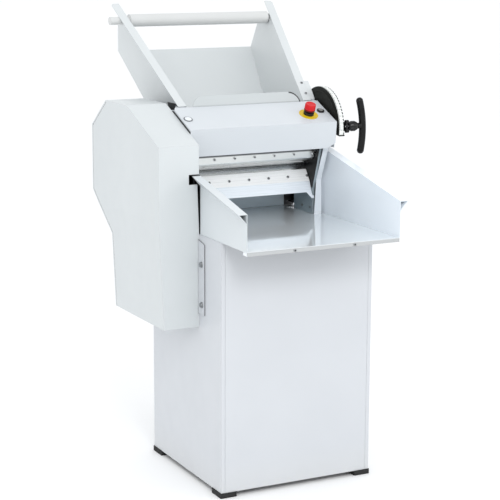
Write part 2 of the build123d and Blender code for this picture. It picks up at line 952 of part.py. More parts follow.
chute_tip = (lower_axis[0] + chute_tip_place[0], lower_axis[1] + chute_tip_place[1])
chute_bend = (lower_axis[0] + chute_bend_place[0], lower_axis[1] + chute_bend_place[1])
chute_foot = (lower_axis[0] + chute_foot_place[0], lower_axis[1] + chute_foot_place[1])
chute_run = hypot(chute_tip[0] - chute_bend[0], chute_tip[1] - chute_bend[1])
chute_along = ((chute_tip[0] - chute_bend[0]) / chute_run, (chute_tip[1] - chute_bend[1]) / chute_run)
chute_back = (chute_along[1], -chute_along[0])


def on_chute(along, back):
    """(Y, Z) of a place on the chute's upper facet, so far up it and so far behind its face."""
    y = chute_bend[0] + along * chute_along[0] + back * chute_back[0]
    z = chute_bend[1] + along * chute_along[1] + back * chute_back[1]
    return (y, z)


def make_chute():
    """Lower scraper and chute: its edge wipes the lower roller and the dough slides off it."""
    half = half_face - part_gap
    piece = bent_sheet(
        [chute_tip, chute_bend, chute_foot], scraper_thickness, -half, half, side=Side.LEFT
    )
    slant = atan2(chute_bend[1] - chute_foot[1], chute_bend[0] - chute_foot[0])
    foot_plane = Plane((0, *chute_foot), x_dir=(1, 0, 0), z_dir=(0, sin(slant), -cos(slant)))
    tab_face = foot_plane * make_face(Polyline(*chute_tab, close=True))
    piece += both_sides(extrude(tab_face, scraper_thickness, dir=foot_plane.z_dir))
    for x in row_x():
        piece -= Plane((x, *on_chute(chute_bar_rise, 0)), z_dir=(0, *chute_back)) * Cylinder(
            screw_shank_radius, 4 * scraper_thickness
        )
    return piece


def make_chute_bar():
    """Bar between the side frames that carries the chute."""
    low = chute_bar_rise - chute_bar_width / 2
    high = chute_bar_rise + chute_bar_width / 2
    near = scraper_thickness
    far = scraper_thickness + chute_bar_thickness
    corners = [on_chute(low, near), on_chute(high, near), on_chute(high, far), on_chute(low, far)]
    piece = side_plate(corners, -frame_inner, frame_inner)
    for x in row_x():
        piece -= Plane((x, *on_chute(chute_bar_rise, 0)), z_dir=(0, *chute_back)) * Cylinder(
            screw_shank_radius, 4 * far
        )
    return piece


parts["chute"] = make_chute()
parts["cross_bars"] = Part() + tie_bars + [make_chute_bar()]
chute_screws = [
    screw(
        (x, *on_chute(chute_bar_rise, 0)),
        (0, *chute_back),
        scraper_thickness + chute_bar_thickness,
    )
    for x in row_x()
]

# ---------------------------------------------------------------- drive train

sync_module = roller_spacing / sync_teeth
sync_addendum = 1.05 * sync_module
sync_dedendum = 1.3 * sync_module
tooth_share = 0.94


def make_drive_gears():
    """Gears on the roller shafts and the countershaft, set in mesh at rest."""
    up_line = 90 + roller_lean
    parts["sync_gear_lower"] = gear(
        sync_teeth,
        sync_module,
        sync_addendum,
        sync_dedendum,
        tooth_share,
        lower_axis,
        up_line,
        -sync_gear_x,
        -(sync_gear_x + sync_gear_width),
        gear_journal_radius,
    )
    parts["sync_gear_upper"] = gear(
        sync_teeth,
        sync_module,
        sync_addendum,
        sync_dedendum,
        tooth_share,
        upper_axis,
        up_line + 180 + 180 / sync_teeth,
        -sync_gear_x,
        -(sync_gear_x + sync_gear_width),
        gear_journal_radius,
    )
    parts["drive_gear"] = gear(
        drive_teeth,
        drive_module,
        0.9 * drive_module,
        1.25 * drive_module,
        tooth_share,
        lower_axis,
        countershaft_lean,
        -drive_gear_x,
        -(drive_gear_x + drive_gear_width),
        gear_journal_radius,
    )
    parts["pinion_shaft"] = gear(
        pinion_teeth,
        drive_module,
        0.9 * drive_module,
        1.25 * drive_module,
        tooth_share,
        counter_axis,
        countershaft_lean + 180 + 180 / pinion_teeth,
        -drive_gear_x,
        -(drive_gear_x + drive_gear_width),
        countershaft_radius - part_gap,
    )


make_drive_gears()


def make_pulley(rim_radius, x_from, centre, bore, spoke_holes):
    """V-belt pulley: hub, web and a rim with one groove for the belt."""
    middle = x_from + pulley_width / 2
    groove_top = belt_top_width / 2 + part_gap
    groove_bottom = belt_bottom_width / 2 + part_gap
    groove_radius = rim_radius - belt_height - 2 * part_gap
    rim_inner = groove_radius - pulley_rim / 2
    hub_radius = bore + housing_wall
    web_from = middle - pulley_web / 2
    web_to = middle + pulley_web / 2
    x_to = x_from + pulley_width
    if rim_inner - hub_radius > housing_wall:
        inside = [
            (x_to, rim_inner),
            (web_to, rim_inner),
            (web_to, hub_radius),
            (x_to, hub_radius),
            (x_to, bore),
            (x_from, bore),
            (x_from, hub_radius),
            (web_from, hub_radius),
            (web_from, rim_inner),
            (x_from, rim_inner),
        ]
    else:
        inside = [(x_to, bore), (x_from, bore)]
    groove = [
        (x_from, rim_radius),
        (middle - groove_top, rim_radius),
        (middle - groove_bottom, groove_radius),
        (middle + groove_bottom, groove_radius),
        (middle + groove_top, rim_radius),
        (x_to, rim_radius),
    ]
    pulley = turned(groove + inside, centre)
    for number in range(spoke_holes):
        angle = 2 * pi * number / spoke_holes
        reach = (rim_inner + hub_radius) / 2
        place = (centre[0] + reach * cos(angle), centre[1] + reach * sin(angle))
        pulley -= bar(web_from, web_to, place, (rim_inner - hub_radius) * pulley_hole_share)
    return pulley


pulley_from = -(pulley_x + pulley_width)
belt_middle = pulley_from + pulley_width / 2


def make_belt():
    """V-belt round both pulleys, sitting level with their rims."""
    distance = hypot(counter_axis[0] - motor_axis[0], counter_axis[1] - motor_axis[1])
    heading = degrees(atan2(counter_axis[1] - motor_axis[1], counter_axis[0] - motor_axis[0]))

    def loop(depth):
        small = motor_pulley_radius - depth
        large = driven_pulley_radius - depth
        lean_in = acos((large - small) / distance)
        side_points = [
            (distance + large * cos(pi - lean_in), large * sin(pi - lean_in)),
            (small * cos(pi - lean_in), small * sin(pi - lean_in)),
        ]
        top_line = Line(side_points[0], side_points[1])
        small_arc = ThreePointArc(
            side_points[1], (-small, 0), (side_points[1][0], -side_points[1][1])
        )
        bottom_line = Line(
            (side_points[1][0], -side_points[1][1]), (side_points[0][0], -side_points[0][1])
        )
        large_arc = ThreePointArc(
            (side_points[0][0], -side_points[0][1]), (distance + large, 0), side_points[0]
        )
        return make_face(Wire([top_line, small_arc, bottom_line, large_arc]))

    def layer(depth_out, depth_in, x_from, x_to):
        face = Pos(*motor_axis) * Rot(0, 0, heading) * (loop(depth_out) - loop(depth_in))
        return along_x(face, x_from, x_to)

    half_mean = (belt_top_width + belt_bottom_width) / 4
    half_bottom = belt_bottom_width / 2
    half_belt = belt_height / 2
    outer = layer(0, half_belt, belt_middle - half_mean, belt_middle + half_mean)
    inner = layer(half_belt, belt_height, belt_middle - half_bottom, belt_middle + half_bottom)
    return outer + inner


parts["driven_pulley"] = make_pulley(
    driven_pulley_radius, pulley_from, counter_axis, countershaft_radius, pulley_holes
)
parts["pinion_shaft"] += bar(-frame_inner, pulley_from - gear_spacing, counter_axis, countershaft_radius)
parts["counter_bearings"] = Part() + [
    make_bearing_housing(-frame_outer, countershaft_radius, counter_axis, frame_plate),
    make_bearing_housing(-drive_plate_outer, countershaft_radius, counter_axis, thick_sheet),
]
parts["motor_pulley"] = make_pulley(motor_pulley_radius, pulley_from, motor_axis, motor_shaft_radius, 0)
parts["drive_belt"] = make_belt()

motor_face_x = -cabinet_half_width + sheet + thick_sheet + part_gap


motor_fins_from = motor_face_x + motor_flange_depth
motor_fins = int((motor_length * motor_fin_share) // motor_fin_pitch)
motor_cowl_x = motor_fins_from + motor_fins * motor_fin_pitch


def make_motor():
    """Motor body: flange, ribbed barrel, fan cowl and terminal box; its axis runs along X."""
    fin_foot = motor_radius - motor_fin_height
    profile = [(motor_face_x, motor_shaft_radius + running_fit)]
    profile.append((motor_face_x, motor_radius + motor_plate_corner))
    profile.append((motor_fins_from, motor_radius + motor_plate_corner))
    for number in range(motor_fins):
        x = motor_fins_from + number * motor_fin_pitch
        profile.append((x, fin_foot))
        profile.append((x + motor_fin_pitch - motor_fin_width, fin_foot))
        profile.append((x + motor_fin_pitch - motor_fin_width, motor_radius))
        profile.append((x + motor_fin_pitch, motor_radius))
    end = motor_face_x + motor_length
    profile.append((motor_cowl_x, motor_radius + motor_cowl_step))
    profile.append((end - motor_cowl_edge, motor_radius + motor_cowl_step))
    profile.append((end, motor_radius - motor_cowl_edge))
    profile.append((end, 0))
    profile.append((motor_cowl_x, 0))
    profile.append((motor_cowl_x, motor_shaft_radius + running_fit))
    body = turned(profile, motor_axis)
    box_from = motor_fins_from + motor_box_setback
    box_foot = motor_axis[1] + fin_foot - motor_cowl_edge
    box_low = (box_from, motor_axis[0] - motor_radius / 2, box_foot)
    box_high = (
        box_from + motor_box_length,
        motor_axis[0] + motor_radius / 2,
        box_foot + motor_box_height,
    )
    return body + box_between(box_low, box_high)


def make_motor_plate():
    """Plate inside the cabinet's left panel that the motor's flange is bolted to."""
    size = 2 * (motor_radius + motor_plate_margin)
    plate = extrude(
        Plane.YZ.offset(-cabinet_half_width + sheet)
        * Pos(*motor_axis)
        * RectangleRounded(size, size, motor_plate_corner),
        thick_sheet + part_gap,
    )
    return plate - bar(-cabinet_half_width, motor_face_x, motor_axis, 2 * motor_shaft_radius)


parts["motor"] = make_motor()
parts["motor_plate"] = make_motor_plate()
parts["motor_shaft"] = bar(
    pulley_from - gear_spacing, motor_cowl_x - 2 * part_gap, motor_axis, motor_shaft_radius
)

# ---------------------------------------------------------------- drive plate and casing

casing_yz = above_deck(casing_outline)
casing_out = -(cabinet_half_width + casing_depth)
casing_front_y = casing_yz[0][0]
casing_bottom_z = casing_yz[6][1]


def make_casing_shell():
    """Whole casing: a box open towards the machine, its lower half tapering to the left."""
    solid = side_plate(casing_yz, -cabinet_half_width, casing_out)
    bottom = casing_bottom_z - casing_taper
    taper_top = deck_z + casing_taper_height
    wedge = Polyline(
        (casing_out, taper_top),
        (casing_out + casing_taper, bottom),
        (casing_out - casing_taper, bottom),
        (casing_out - casing_taper, taper_top),
        close=True,
    )
    solid -= extrude(Plane.XZ * make_face(wedge), 2 * cabinet_depth, both=True)
    inner_face = solid.faces().sort_by(Axis.X)[-1]
    return offset(solid, amount=-sheet, openings=inner_face)


def make_seam_band(width):
    """Region along the rear edge of the casing, so wide, measured in from its outline."""
    rear = casing_yz[2:7]
    line = Polyline(*rear)
    band = make_face(offset(line, amount=width, side=Side.RIGHT, kind=Kind.INTERSECTION))
    return along_x(band, -cabinet_half_width + sheet, casing_out - sheet)




def front_wall_cut(outline):
    """Cutter through the casing's front wall with an (X, Z) outline."""
    face = Pos(0, casing_front_y - sheet, 0) * (Plane.XZ * make_face(Polyline(*outline, close=True)))
    return extrude(face, 3 * sheet, dir=(0, 1, 0))


casing_open_x = -cabinet_half_width + sheet
tray_pitch = (tray_wall_back_height - tray_wall_front_height) / (tray_back_y - tray_front_y)
notch_top = deck_z + tray_wall_front_height + tray_pitch * (casing_front_y - tray_front_y) + thick_sheet
notch_bottom = notch_top - tray_notch_height
notch_x = -(cabinet_half_width + tray_flange + tray_notch_room)
tray_notch = front_wall_cut(
    [(notch_x, notch_bottom), (notch_x, notch_top), (casing_open_x, notch_top), (casing_open_x, notch_bottom)]
)
wall_gap = front_wall_cut(
    [
        (casing_open_x, deck_z + casing_wall_gap_foot),
        (-cabinet_half_width, deck_z + casing_wall_gap_foot),
        (-cabinet_half_width - casing_wall_gap, notch_bottom),
        (casing_open_x, notch_bottom),
    ]
)
tab_cut = front_wall_cut(
    [
        (-drive_plate_outer - part_gap, deck_z + mounting_tab_low - 2 * part_gap),
        (-drive_plate_outer - part_gap, deck_z + mounting_tab_root_height + 2 * part_gap),
        (casing_open_x, deck_z + mounting_tab_root_height + 2 * part_gap),
        (casing_open_x, deck_z + mounting_tab_low - 2 * part_gap),
    ]
)
casing_shell = make_casing_shell()
casing_front_cuts = tray_notch + wall_gap + tab_cut
parts["casing_cover"] = casing_shell - make_seam_band(casing_seam + 2 * part_gap) - casing_front_cuts
parts["casing_rear"] = casing_shell & make_seam_band(casing_seam)


def make_drive_plate():
    """Plate behind the casing, bolted to the cabinet; its front tab shows beside the casing."""
    tab_front = casing_front_y - mounting_tab_reach
    root_back = casing_front_y + mounting_tab_root
    inside = offset(
        make_face(Polyline(*casing_yz, close=True)),
        amount=-(sheet + part_gap),
        kind=Kind.INTERSECTION,
    )
    tab = above_deck(
        [
            (tab_front, mounting_tab_low),
            (tab_front, mounting_tab_high),
            (casing_front_y, mounting_tab_root_height),
            (root_back, mounting_tab_root_height),
            (root_back, mounting_tab_low),
        ]
    )
    plate = along_x(inside, -cabinet_half_width, -drive_plate_outer)
    plate += side_plate(tab, -cabinet_half_width, -drive_plate_outer)
    plate -= box_between(
        (-drive_plate_outer, casing_front_y, deck_z - 4 * part_gap),
        (-cabinet_half_width, root_back, casing_yz[1][1]),
    )
    plate -= bar(-cabinet_half_width, -drive_plate_outer, motor_axis, 2 * motor_shaft_radius)
    plate -= bar(-cabinet_half_width, -drive_plate_outer, lower_axis, journal_clear_radius)
    plate -= bar(
        -cabinet_half_width,
        -drive_plate_outer,
        counter_axis,
        counter_housing_radius - housing_wall / 2,
    )
    plate -= journal_slot(-drive_plate_outer, journal_clear_radius, thick_sheet)
    return plate


bolt_places = [(casing_front_y - setback, deck_z + height) for setback, height in mounting_bolts]


def make_plate_bolts():
    """Hex bolt heads with washers on the front tab."""
    bolts = []
    for place in bolt_places:
        head = Plane.YZ.offset(-drive_plate_outer) * Pos(*place) * RegularPolygon(mounting_bolt_radius, 6)
        washer = bar(-drive_plate_outer, -drive_plate_outer - sheet, place, mounting_bolt_radius + sheet)
        bolts.append(extrude(head, -mounting_bolt_head) + washer)
    return bolts


parts["drive_plate"] = make_drive_plate()

# ---------------------------------------------------------------- hood and throat

hood_yz = above_deck(
    [
        (hood_bottom_y, hood_bottom_height),
        (hood_bend_y, hood_bend_height),
        (hood_top_y, hood_top_height),
        (hood_back_y, hood_top_height),
        (hood_back_y, hood_bottom_height),
    ]
)
hood_normal = (0, -sin(hood_slope), cos(hood_slope))


def on_hood(x, along):
    """Place on the hood's sloping top, so far up from its front bend."""
    y = hood_bend_y + along * cos(hood_slope)
    return (x, y, deck_z + hood_bend_height + along * sin(hood_slope))


def hood_plane(x, along):
    """Plane on the hood's sloping top, facing out of it."""
    return Plane(on_hood(x, along), x_dir=(1, 0, 0), z_dir=hood_normal)


def hood_hole(x, along, radius):
    """Cutter for a round hole in the hood's sloping top."""
    return extrude(hood_plane(x, along) * Circle(radius), 2 * sheet, both=True)


start_neck_radius = start_button_radius + sheet
plug_neck_radius = plug_radius - plug_ring_width


hood_corner = [(hood_left + inward, hood_top_y + back) for inward, back in hood_corner_cut]
hood_corner.append((hood_left, hood_back_y))
hood_step = [(hood_left + inward, hood_top_y + back) for inward, back in hood_corner_step]


def make_hood():
    """Folded hood, open below and behind: a throat cut from its back and a sunk left corner."""
    solid = side_plate(hood_yz, hood_left, hood_right)
    faces = solid.faces()
    openings = [faces.sort_by(Axis.Z)[0], faces.sort_by(Axis.Y)[-1]]
    hood = offset(solid, amount=-sheet, openings=openings)
    top_z = deck_z + hood_top_height
    hood -= box_between(
        (-throat_half_width, hood_top_y, top_z - 4 * sheet),
        (throat_half_width, hopper_front_y, top_z + sheet),
    )
    hood -= box_between(
        (-throat_half_width - throat_side_room, hopper_front_y - 2 * part_gap, top_z - 4 * sheet),
        (throat_half_width + throat_side_room, hood_back_y, top_z + sheet),
    )
    step_z = top_z - hood_step_depth
    hood -= Pos(0, 0, step_z) * extrude(make_face(Polyline(*hood_corner, close=True)), 2 * hood_step_depth)
    step = make_face(Polyline(*hood_step, close=True))
    hood += Pos(0, 0, step_z) * extrude(step, sheet, dir=(0, 0, -1))
    bottom_z = deck_z + hood_bottom_height
    cut = [
        (hood_right - hood_cut_width, bottom_z),
        (hood_right, bottom_z + hood_cut_height),
        (hood_right, bottom_z - sheet),
        (hood_right - hood_cut_width, bottom_z - sheet),
    ]
    cut_face = Pos(0, hood_bend_y - sheet, 0) * (Plane.XZ * make_face(Polyline(*cut, close=True)))
    hood -= extrude(cut_face, hood_bottom_y - hood_bend_y + 4 * sheet, dir=(0, 1, 0))
    hood -= journal_slot(hood_left, journal_clear_radius, 2 * sheet)
    hood -= hood_hole(stop_x, stop_along, stop_neck_radius)
    hood -= hood_hole(start_x, start_along, start_neck_radius)
    hood -= hood_hole(plug_x, plug_along, plug_neck_radius)
    hood -= bar(cover_outer, hood_right, dial_axis, cross_shaft_radius + part_gap)
    return hood


parts["hood"] = make_hood()


def make_hood_plug():
    """Domed plastic plug with a rim, snapped into the hood."""
    ring = extrude(Circle(plug_radius) - Circle(plug_neck_radius), plug_ring_height)
    neck = extrude(Circle(plug_neck_radius), -2 * sheet)
    dome = extrude(Circle(plug_neck_radius), plug_dome_height)
    dome = fillet(dome.edges().group_by(Axis.Z)[-1], plug_dome_height - 2 * part_gap)
    return hood_plane(plug_x, plug_along) * (ring + neck + dome)


parts["hood_plug"] = make_hood_plug()


def make_throat_guard():
    """Guard: a raised lip bent down behind the hood, on a rod between the side frames."""
    top_z = deck_z + hood_top_height
    lip_y = hood_top_y + sheet + part_gap
    foot = (upper_axis[0] + block_boss_height / 2, upper_axis[1] + roller_radius + 3 * roller_travel)
    knee = (lip_y, top_z - guard_lip_lean)
    line = [
        (lip_y + guard_lip_lean, top_z + guard_lip_height),
        (lip_y, top_z + 2 * sheet),
        knee,
        foot,
    ]
    guard = bent_sheet(line, sheet, -guard_half_width, guard_half_width, side=Side.LEFT)
    clip = Rectangle(2 * guard_half_width, 2 * (line[0][1] - foot[1]))
    clip = fillet(clip.vertices(), guard_corner)
    clip_plane = Plane((0, 0, foot[1]), x_dir=(1, 0, 0), z_dir=(0, -1, 0))
    guard &= extrude(clip_plane * clip, 4 * cabinet_depth, both=True)
    rod = ((knee[0] + foot[0]) / 2, (knee[1] + foot[1]) / 2)
    return guard + bar(-frame_inner, frame_inner, rod, guard_rod_radius)


parts["throat_guard"] = make_throat_guard()

# ---------------------------------------------------------------- hopper

hopper_bottom_z = deck_z + hood_top_height + bracket_sheet
slope = radians(hopper_slope)
guide_axis = (guide_axis_y, hopper_bottom_z + guide_axis_rise)
roller_seat_z = guide_axis[1] - guide_stub_radius


def hopper_x(y, z):
    """Half-width between the inner faces of the hopper's side plates at a place."""
    return (
        hopper_front_half_width
        + hopper_flare_back * (y - hopper_front_y)
        + hopper_flare_up * (z - hopper_bottom_z)
    )


def hopper_point(y, z):
    """Place on the inner face of the right side plate."""
    return Vector(hopper_x(y, z), y, z)


def front_edge(y):
    """Height of the hopper's sloping front edge."""
    return hopper_bottom_z + (y - hopper_front_y) * tan(slope)


hopper_normal = Vector(1, -hopper_flare_back, -hopper_flare_up).normalized()
feed_top = (feed_top_y, hopper_bottom_z + feed_top_rise)
feed_bend = (feed_bend_y, hopper_bottom_z - feed_bend_drop)
seat_front_y = hopper_front_y + (roller_seat_z + hopper_seat_room - hopper_bottom_z) / tan(slope)


def make_hopper_side():
    """Right side plate: flared, with a flange along its front edge that ends in a horn."""
    outline = [
        (hopper_front_y, hopper_bottom_z),
        (seat_front_y, roller_seat_z + hopper_seat_room),
        (hopper_seat_back_y, roller_seat_z - hopper_seat_room),
        feed_top,
        feed_bend,
        (hopper_front_y + hopper_tail_setback, hopper_bottom_z - hopper_tail_depth),
    ]
    corners = [hopper_point(y, z) for y, z in outline]
    wall = extrude(make_face(Polyline(*corners, close=True)), sheet, dir=hopper_normal)
    low = hopper_point(hopper_front_y, hopper_bottom_z)
    high = hopper_point(hopper_horn_y, front_edge(hopper_horn_y))
    outward = Vector(hopper_flange, 0, 0)
    along = (high - low).normalized()
    flange_normal = Vector(1, 0, 0).cross(along).normalized()
    face = make_face(Polyline(low, low + outward, high + outward, high, close=True))
    flange = extrude(face, sheet, dir=-flange_normal)
    corner_edge = flange.edges().filter_by(lambda e: abs(e.length - sheet) < 0.01).sort_by(Axis.Z)[-2:]
    corner_edge = corner_edge.sort_by(Axis.X)[-1]
    flange = fillet(corner_edge, hopper_horn_corner)
    stub = bar(throat_half_width, 2 * cabinet_half_width, guide_axis, guide_stub_radius + running_fit)
    return wall + flange - stub


def make_feed_plate():
    """Feed plate: the sloping back of the hopper, bent flatter above the lower roller."""
    top_half = hopper_x(*feed_top) - part_gap / 2
    bend_half = hopper_x(*feed_bend) - part_gap / 2
    steep = atan2(feed_top[1] - feed_bend[1], feed_top[0] - feed_bend[0])
    normal = Vector(0, sin(steep), -cos(steep))
    corners = [
        (-top_half, *feed_top),
        (top_half, *feed_top),
        (bend_half, *feed_bend),
        (-bend_half, *feed_bend),
    ]
    upper = extrude(make_face(Polyline(*corners, close=True)), sheet, dir=normal)
    reach = roller_radius + feed_roller_gap
    tip_angle = radians(feed_tip_angle)
    tip = (lower_axis[0] + reach * cos(tip_angle), lower_axis[1] + reach * sin(tip_angle))
    shallow = atan2(feed_bend[1] - tip[1], feed_bend[0] - tip[0])
    down = (sin(shallow) * sheet, -cos(shallow) * sheet)
    under_bend = (feed_bend[0] + normal.Y * sheet, feed_bend[1] + normal.Z * sheet)
    under_tip = (tip[0] + down[0], tip[1] + down[1])
    lower = side_plate([tip, feed_bend, under_bend, under_tip], -bend_half, bend_half)
    return upper + lower


def flange_underside(y):
    """Height of the underside of the hopper's front flange."""
    return front_edge(y) - sheet / cos(slope)


bracket_back_y = hopper_front_y + bracket_length


def make_hopper_bracket():
    """Right bracket: a plate under the flange, folded back under itself to a foot on the hood."""
    hood_z = deck_z + hood_top_height
    fold_y = hopper_front_y + (hood_z - flange_underside(hopper_front_y)) / tan(slope)
    line = [
        (bracket_back_y, flange_underside(bracket_back_y)),
        (fold_y, hood_z),
        (hood_back_y - 10 * part_gap, hood_z),
    ]
    inner_x = hopper_x(bracket_back_y, front_edge(bracket_back_y)) + 2 * sheet
    plate = bent_sheet(line, bracket_sheet, inner_x, hood_right + bracket_length, side=Side.LEFT)
    outline = Polyline(
        (inner_x, 0),
        (hood_right, 0),
        (hood_right, hopper_front_y + 2 * bracket_sheet),
        (hood_right + bracket_wing - bracket_wing_taper, bracket_back_y - bracket_wing_length),
        (hood_right + bracket_wing, bracket_back_y),
        (inner_x, bracket_back_y + bracket_inner_rise),
        close=True,
    )
    return plate & extrude(make_face(outline), 2 * deck_z)


def make_hopper_lugs():
    """Small blocks on top of the side frames that hold the hopper's side plates."""
    back_y = lug_front_y + lug_length
    low = deck_z + frame_top_height
    high = low + lug_height
    inner_x = hopper_x(back_y, high) + 2 * sheet
    return both_sides(box_between((inner_x, lug_front_y, low), (frame_outer, back_y, high)))


hopper_side = make_hopper_side()
parts["hopper_side_right"] = hopper_side
parts["hopper_side_left"] = mirror(hopper_side, about=Plane.YZ)
parts["feed_plate"] = make_feed_plate()
parts["hopper_brackets"] = Part() + [make_hopper_bracket(), make_hopper_lugs()]


def make_guide_roller():
    """Plastic roller with stub ends that turn in the seats of the side plates."""
    half = hopper_x(guide_axis[0] - guide_radius, guide_axis[1] - guide_radius) - 5 * part_gap
    left_end = hopper_x(*guide_axis) + guide_stub_left
    right_end = hopper_x(*guide_axis) + guide_stub_right
    section = [
        (-left_end, 0),
        (-left_end, guide_stub_radius),
        (-half, guide_stub_radius),
        (-half, guide_radius),
        (half, guide_radius),
        (half, guide_stub_radius),
        (right_end, guide_stub_radius),
        (right_end, 0),
    ]
    return turned(section, guide_axis)


parts["guide_roller"] = make_guide_roller()

# ---------------------------------------------------------------- tray

floor_half = tray_half_width
wall_inner = tray_half_width + part_gap / 2
tray_slope = Vector(0, tray_back_y - tray_front_y, tray_wall_back_height - tray_wall_front_height)


def make_tray_floor():
    """Polished floor: a front lip with end returns, and a narrower part under the rollers."""
    step_y = frame_front_y - 2 * scraper_thickness
    front = bent_sheet(
        [
            (tray_front_y, deck_z - tray_lip),
            (tray_front_y, deck_z + sheet),
            (step_y, deck_z + sheet),
        ],
        sheet,
        -floor_half,
        floor_half,
        side=Side.RIGHT,
    )
    half = frame_inner - part_gap
    back = box_between((-half, step_y, deck_z), (half, floor_back_y, deck_z + sheet))
    end_return = box_between(
        (floor_half - sheet, tray_front_y + bend_radius, deck_z - tray_lip),
        (floor_half, tray_front_y + tray_lip_return, deck_z + sheet / 2),
    )
    return front + back + both_sides(end_return)


def make_tray_wall(length):
    """Right wall: a plate, its top edge folded outward and hemmed back down to the plate."""
    outline = above_deck(
        [
            (tray_front_y, 0),
            (tray_front_y, tray_wall_front_height),
            (tray_back_y, tray_wall_back_height),
            (tray_back_y, 0),
        ]
    )
    wall = side_plate(outline, wall_inner, wall_inner + sheet)
    top = deck_z + tray_wall_front_height
    line = Polyline(
        (wall_inner, top),
        (wall_inner + tray_flange, top),
        (wall_inner + sheet + part_gap, top - tray_hem),
    )
    profile = make_face(offset(line, amount=sheet, side=Side.RIGHT, kind=Kind.INTERSECTION))
    section = Plane((0, tray_front_y, 0), x_dir=(1, 0, 0), z_dir=(0, -1, 0)) * profile
    flange = extrude(section, length * tray_slope.length, dir=tray_slope.normalized())
    return wall + flange


def make_tray_rails():
    """Angle rails under the tray's front part, from the cabinet to the lip."""
    outer = floor_half - tray_rail_inset
    inner = outer - tray_rail_width
    front = tray_front_y + 3 * sheet
    line = [(outer, deck_z - tray_lip), (outer, deck_z), (inner, deck_z)]
    profile = make_face(offset(Polyline(*line), amount=sheet, side=Side.LEFT, kind=Kind.INTERSECTION))
    section = Plane((0, front, 0), x_dir=(1, 0, 0), z_dir=(0, -1, 0)) * profile
    return both_sides(extrude(section, -cabinet_half_depth - part_gap - front, dir=(0, 1, 0)))


left_flange_back_y = casing_front_y + tray_rail_width
left_flange_share = (left_flange_back_y - tray_front_y) / (tray_back_y - tray_front_y)
parts["tray_floor"] = make_tray_floor()
parts["tray_wall_right"] = make_tray_wall(1.0)
parts["tray_wall_left"] = mirror(make_tray_wall(left_flange_share), about=Plane.YZ)
parts["tray_rails"] = make_tray_rails()
lip_screw_z = deck_z - tray_lip / 2
lip_screws = [screw((x, tray_front_y, lip_screw_z), (0, 1, 0), sheet) for x in (-tray_screw_x, tray_screw_x)]
for lip_screw in lip_screws:
    parts["tray_floor"] -= lip_screw


def bracket_screw(x, y):
    """Screw through the hopper's right flange into its bracket."""
    normal = (0, sin(slope), -cos(slope))
    return screw((x, y, front_edge(y)), normal, sheet + bracket_sheet)


bracket_screws = [
    bracket_screw(hood_right - inward, hopper_front_y + setback) for inward, setback in bracket_screw_setbacks
]
cover_screws = both_sides(
    Part()
    + [screw((frame_inner, *place), (1, 0, 0), cover_outer - frame_inner) for place in cover_screw_places]
)
for flange_screw in bracket_screws:
    parts["hopper_side_right"] -= flange_screw
    parts["hopper_brackets"] -= flange_screw
parts["fixings"] = Part() + make_plate_bolts() + chute_screws + lip_screws + bracket_screws + [cover_screws]

# ---------------------------------------------------------------- quadrant drum


def dial_place(angle, radius):
    """(Y, Z) of a place on the quadrant, its angle counted up from the front."""
    turn = radians(angle)
    return (dial_axis[0] - radius * cos(turn), dial_axis[1] + radius * sin(turn))


def dial_sector(inner, outer):
    """Sector of the quadrant between two radii."""
    middle = (dial_start + dial_end) / 2
    outer_arc = ThreePointArc(
        dial_place(dial_start, outer), dial_place(middle, outer), dial_place(dial_end, outer)
    )
    inner_arc = ThreePointArc(
        dial_place(dial_end, inner), dial_place(middle, inner), dial_place(dial_start, inner)
    )
    closing = Line(dial_place(dial_end, outer), dial_place(dial_end, inner))
    opening = Line(dial_place(dial_start, inner), dial_place(dial_start, outer))
    return make_face(Wire([outer_arc, closing, inner_arc, opening]))


def make_dial_drum():
    """Quadrant drum: a face plate, a rim notched along its outer edge, a ridge and a hub."""
    hub_radius = cross_shaft_radius + housing_wall
    face = along_x(dial_sector(hub_radius - sheet, dial_radius), dial_inner, dial_inner + dial_plate)
    rim = along_x(dial_sector(dial_radius - dial_rim, dial_radius), dial_inner, dial_outer)
    ridge_outer = dial_radius - dial_ridge_setback
    ridge = along_x(
        dial_sector(ridge_outer - dial_ridge_width, ridge_outer),
        dial_inner - dial_ridge_height,
        dial_inner + dial_ridge_height,
    )
    hub = bar(hood_right, dial_inner + dial_plate, dial_axis, hub_radius)
    drum = face + rim + ridge + hub
    drum -= bar(hood_right, dial_outer, dial_axis, cross_shaft_radius + running_fit)
    notches = int((dial_end - dial_start) // notch_pitch)
    for number in range(1, notches):
        angle = dial_start + number * notch_pitch
        place = dial_place(angle, dial_radius - dial_rim / 2)
        notch = Pos(dial_outer, *place) * Rot(180 - angle, 0, 0) * Box(
            2 * notch_depth, 2 * dial_rim, notch_width
        )
        drum -= notch
    foot_place = dial_place(dial_start, dial_radius - dial_rim)
    foot = Pos(dial_inner + dial_width / 2, *foot_place) * Rot(180 - dial_start, 0, 0) * Box(
        dial_width, dial_foot_length, thick_sheet
    )
    return drum + foot


def make_dial_scale():
    """Thin white scale wrapped round the rim."""
    band = dial_sector(dial_radius, dial_radius + dial_scale_thickness)
    return along_x(band, dial_inner + 2 * part_gap, dial_outer - notch_depth - part_gap)


parts["dial_drum"] = make_dial_drum()
parts["dial_scale"] = make_dial_scale() - parts["dial_drum"]

# ---------------------------------------------------------------- lever, plunger and T-handle

plunger_axis = dial_place(lever_angle, lever_reach)
knob_offset = (knob_spacing * sin(radians(lever_angle)), knob_spacing * cos(radians(lever_angle)))
knob_places = [
    (plunger_axis[0] + side * knob_offset[0], plunger_axis[1] + side * knob_offset[1]) for side in (1, -1)
]
barrel_x = lever_outer + barrel_gap


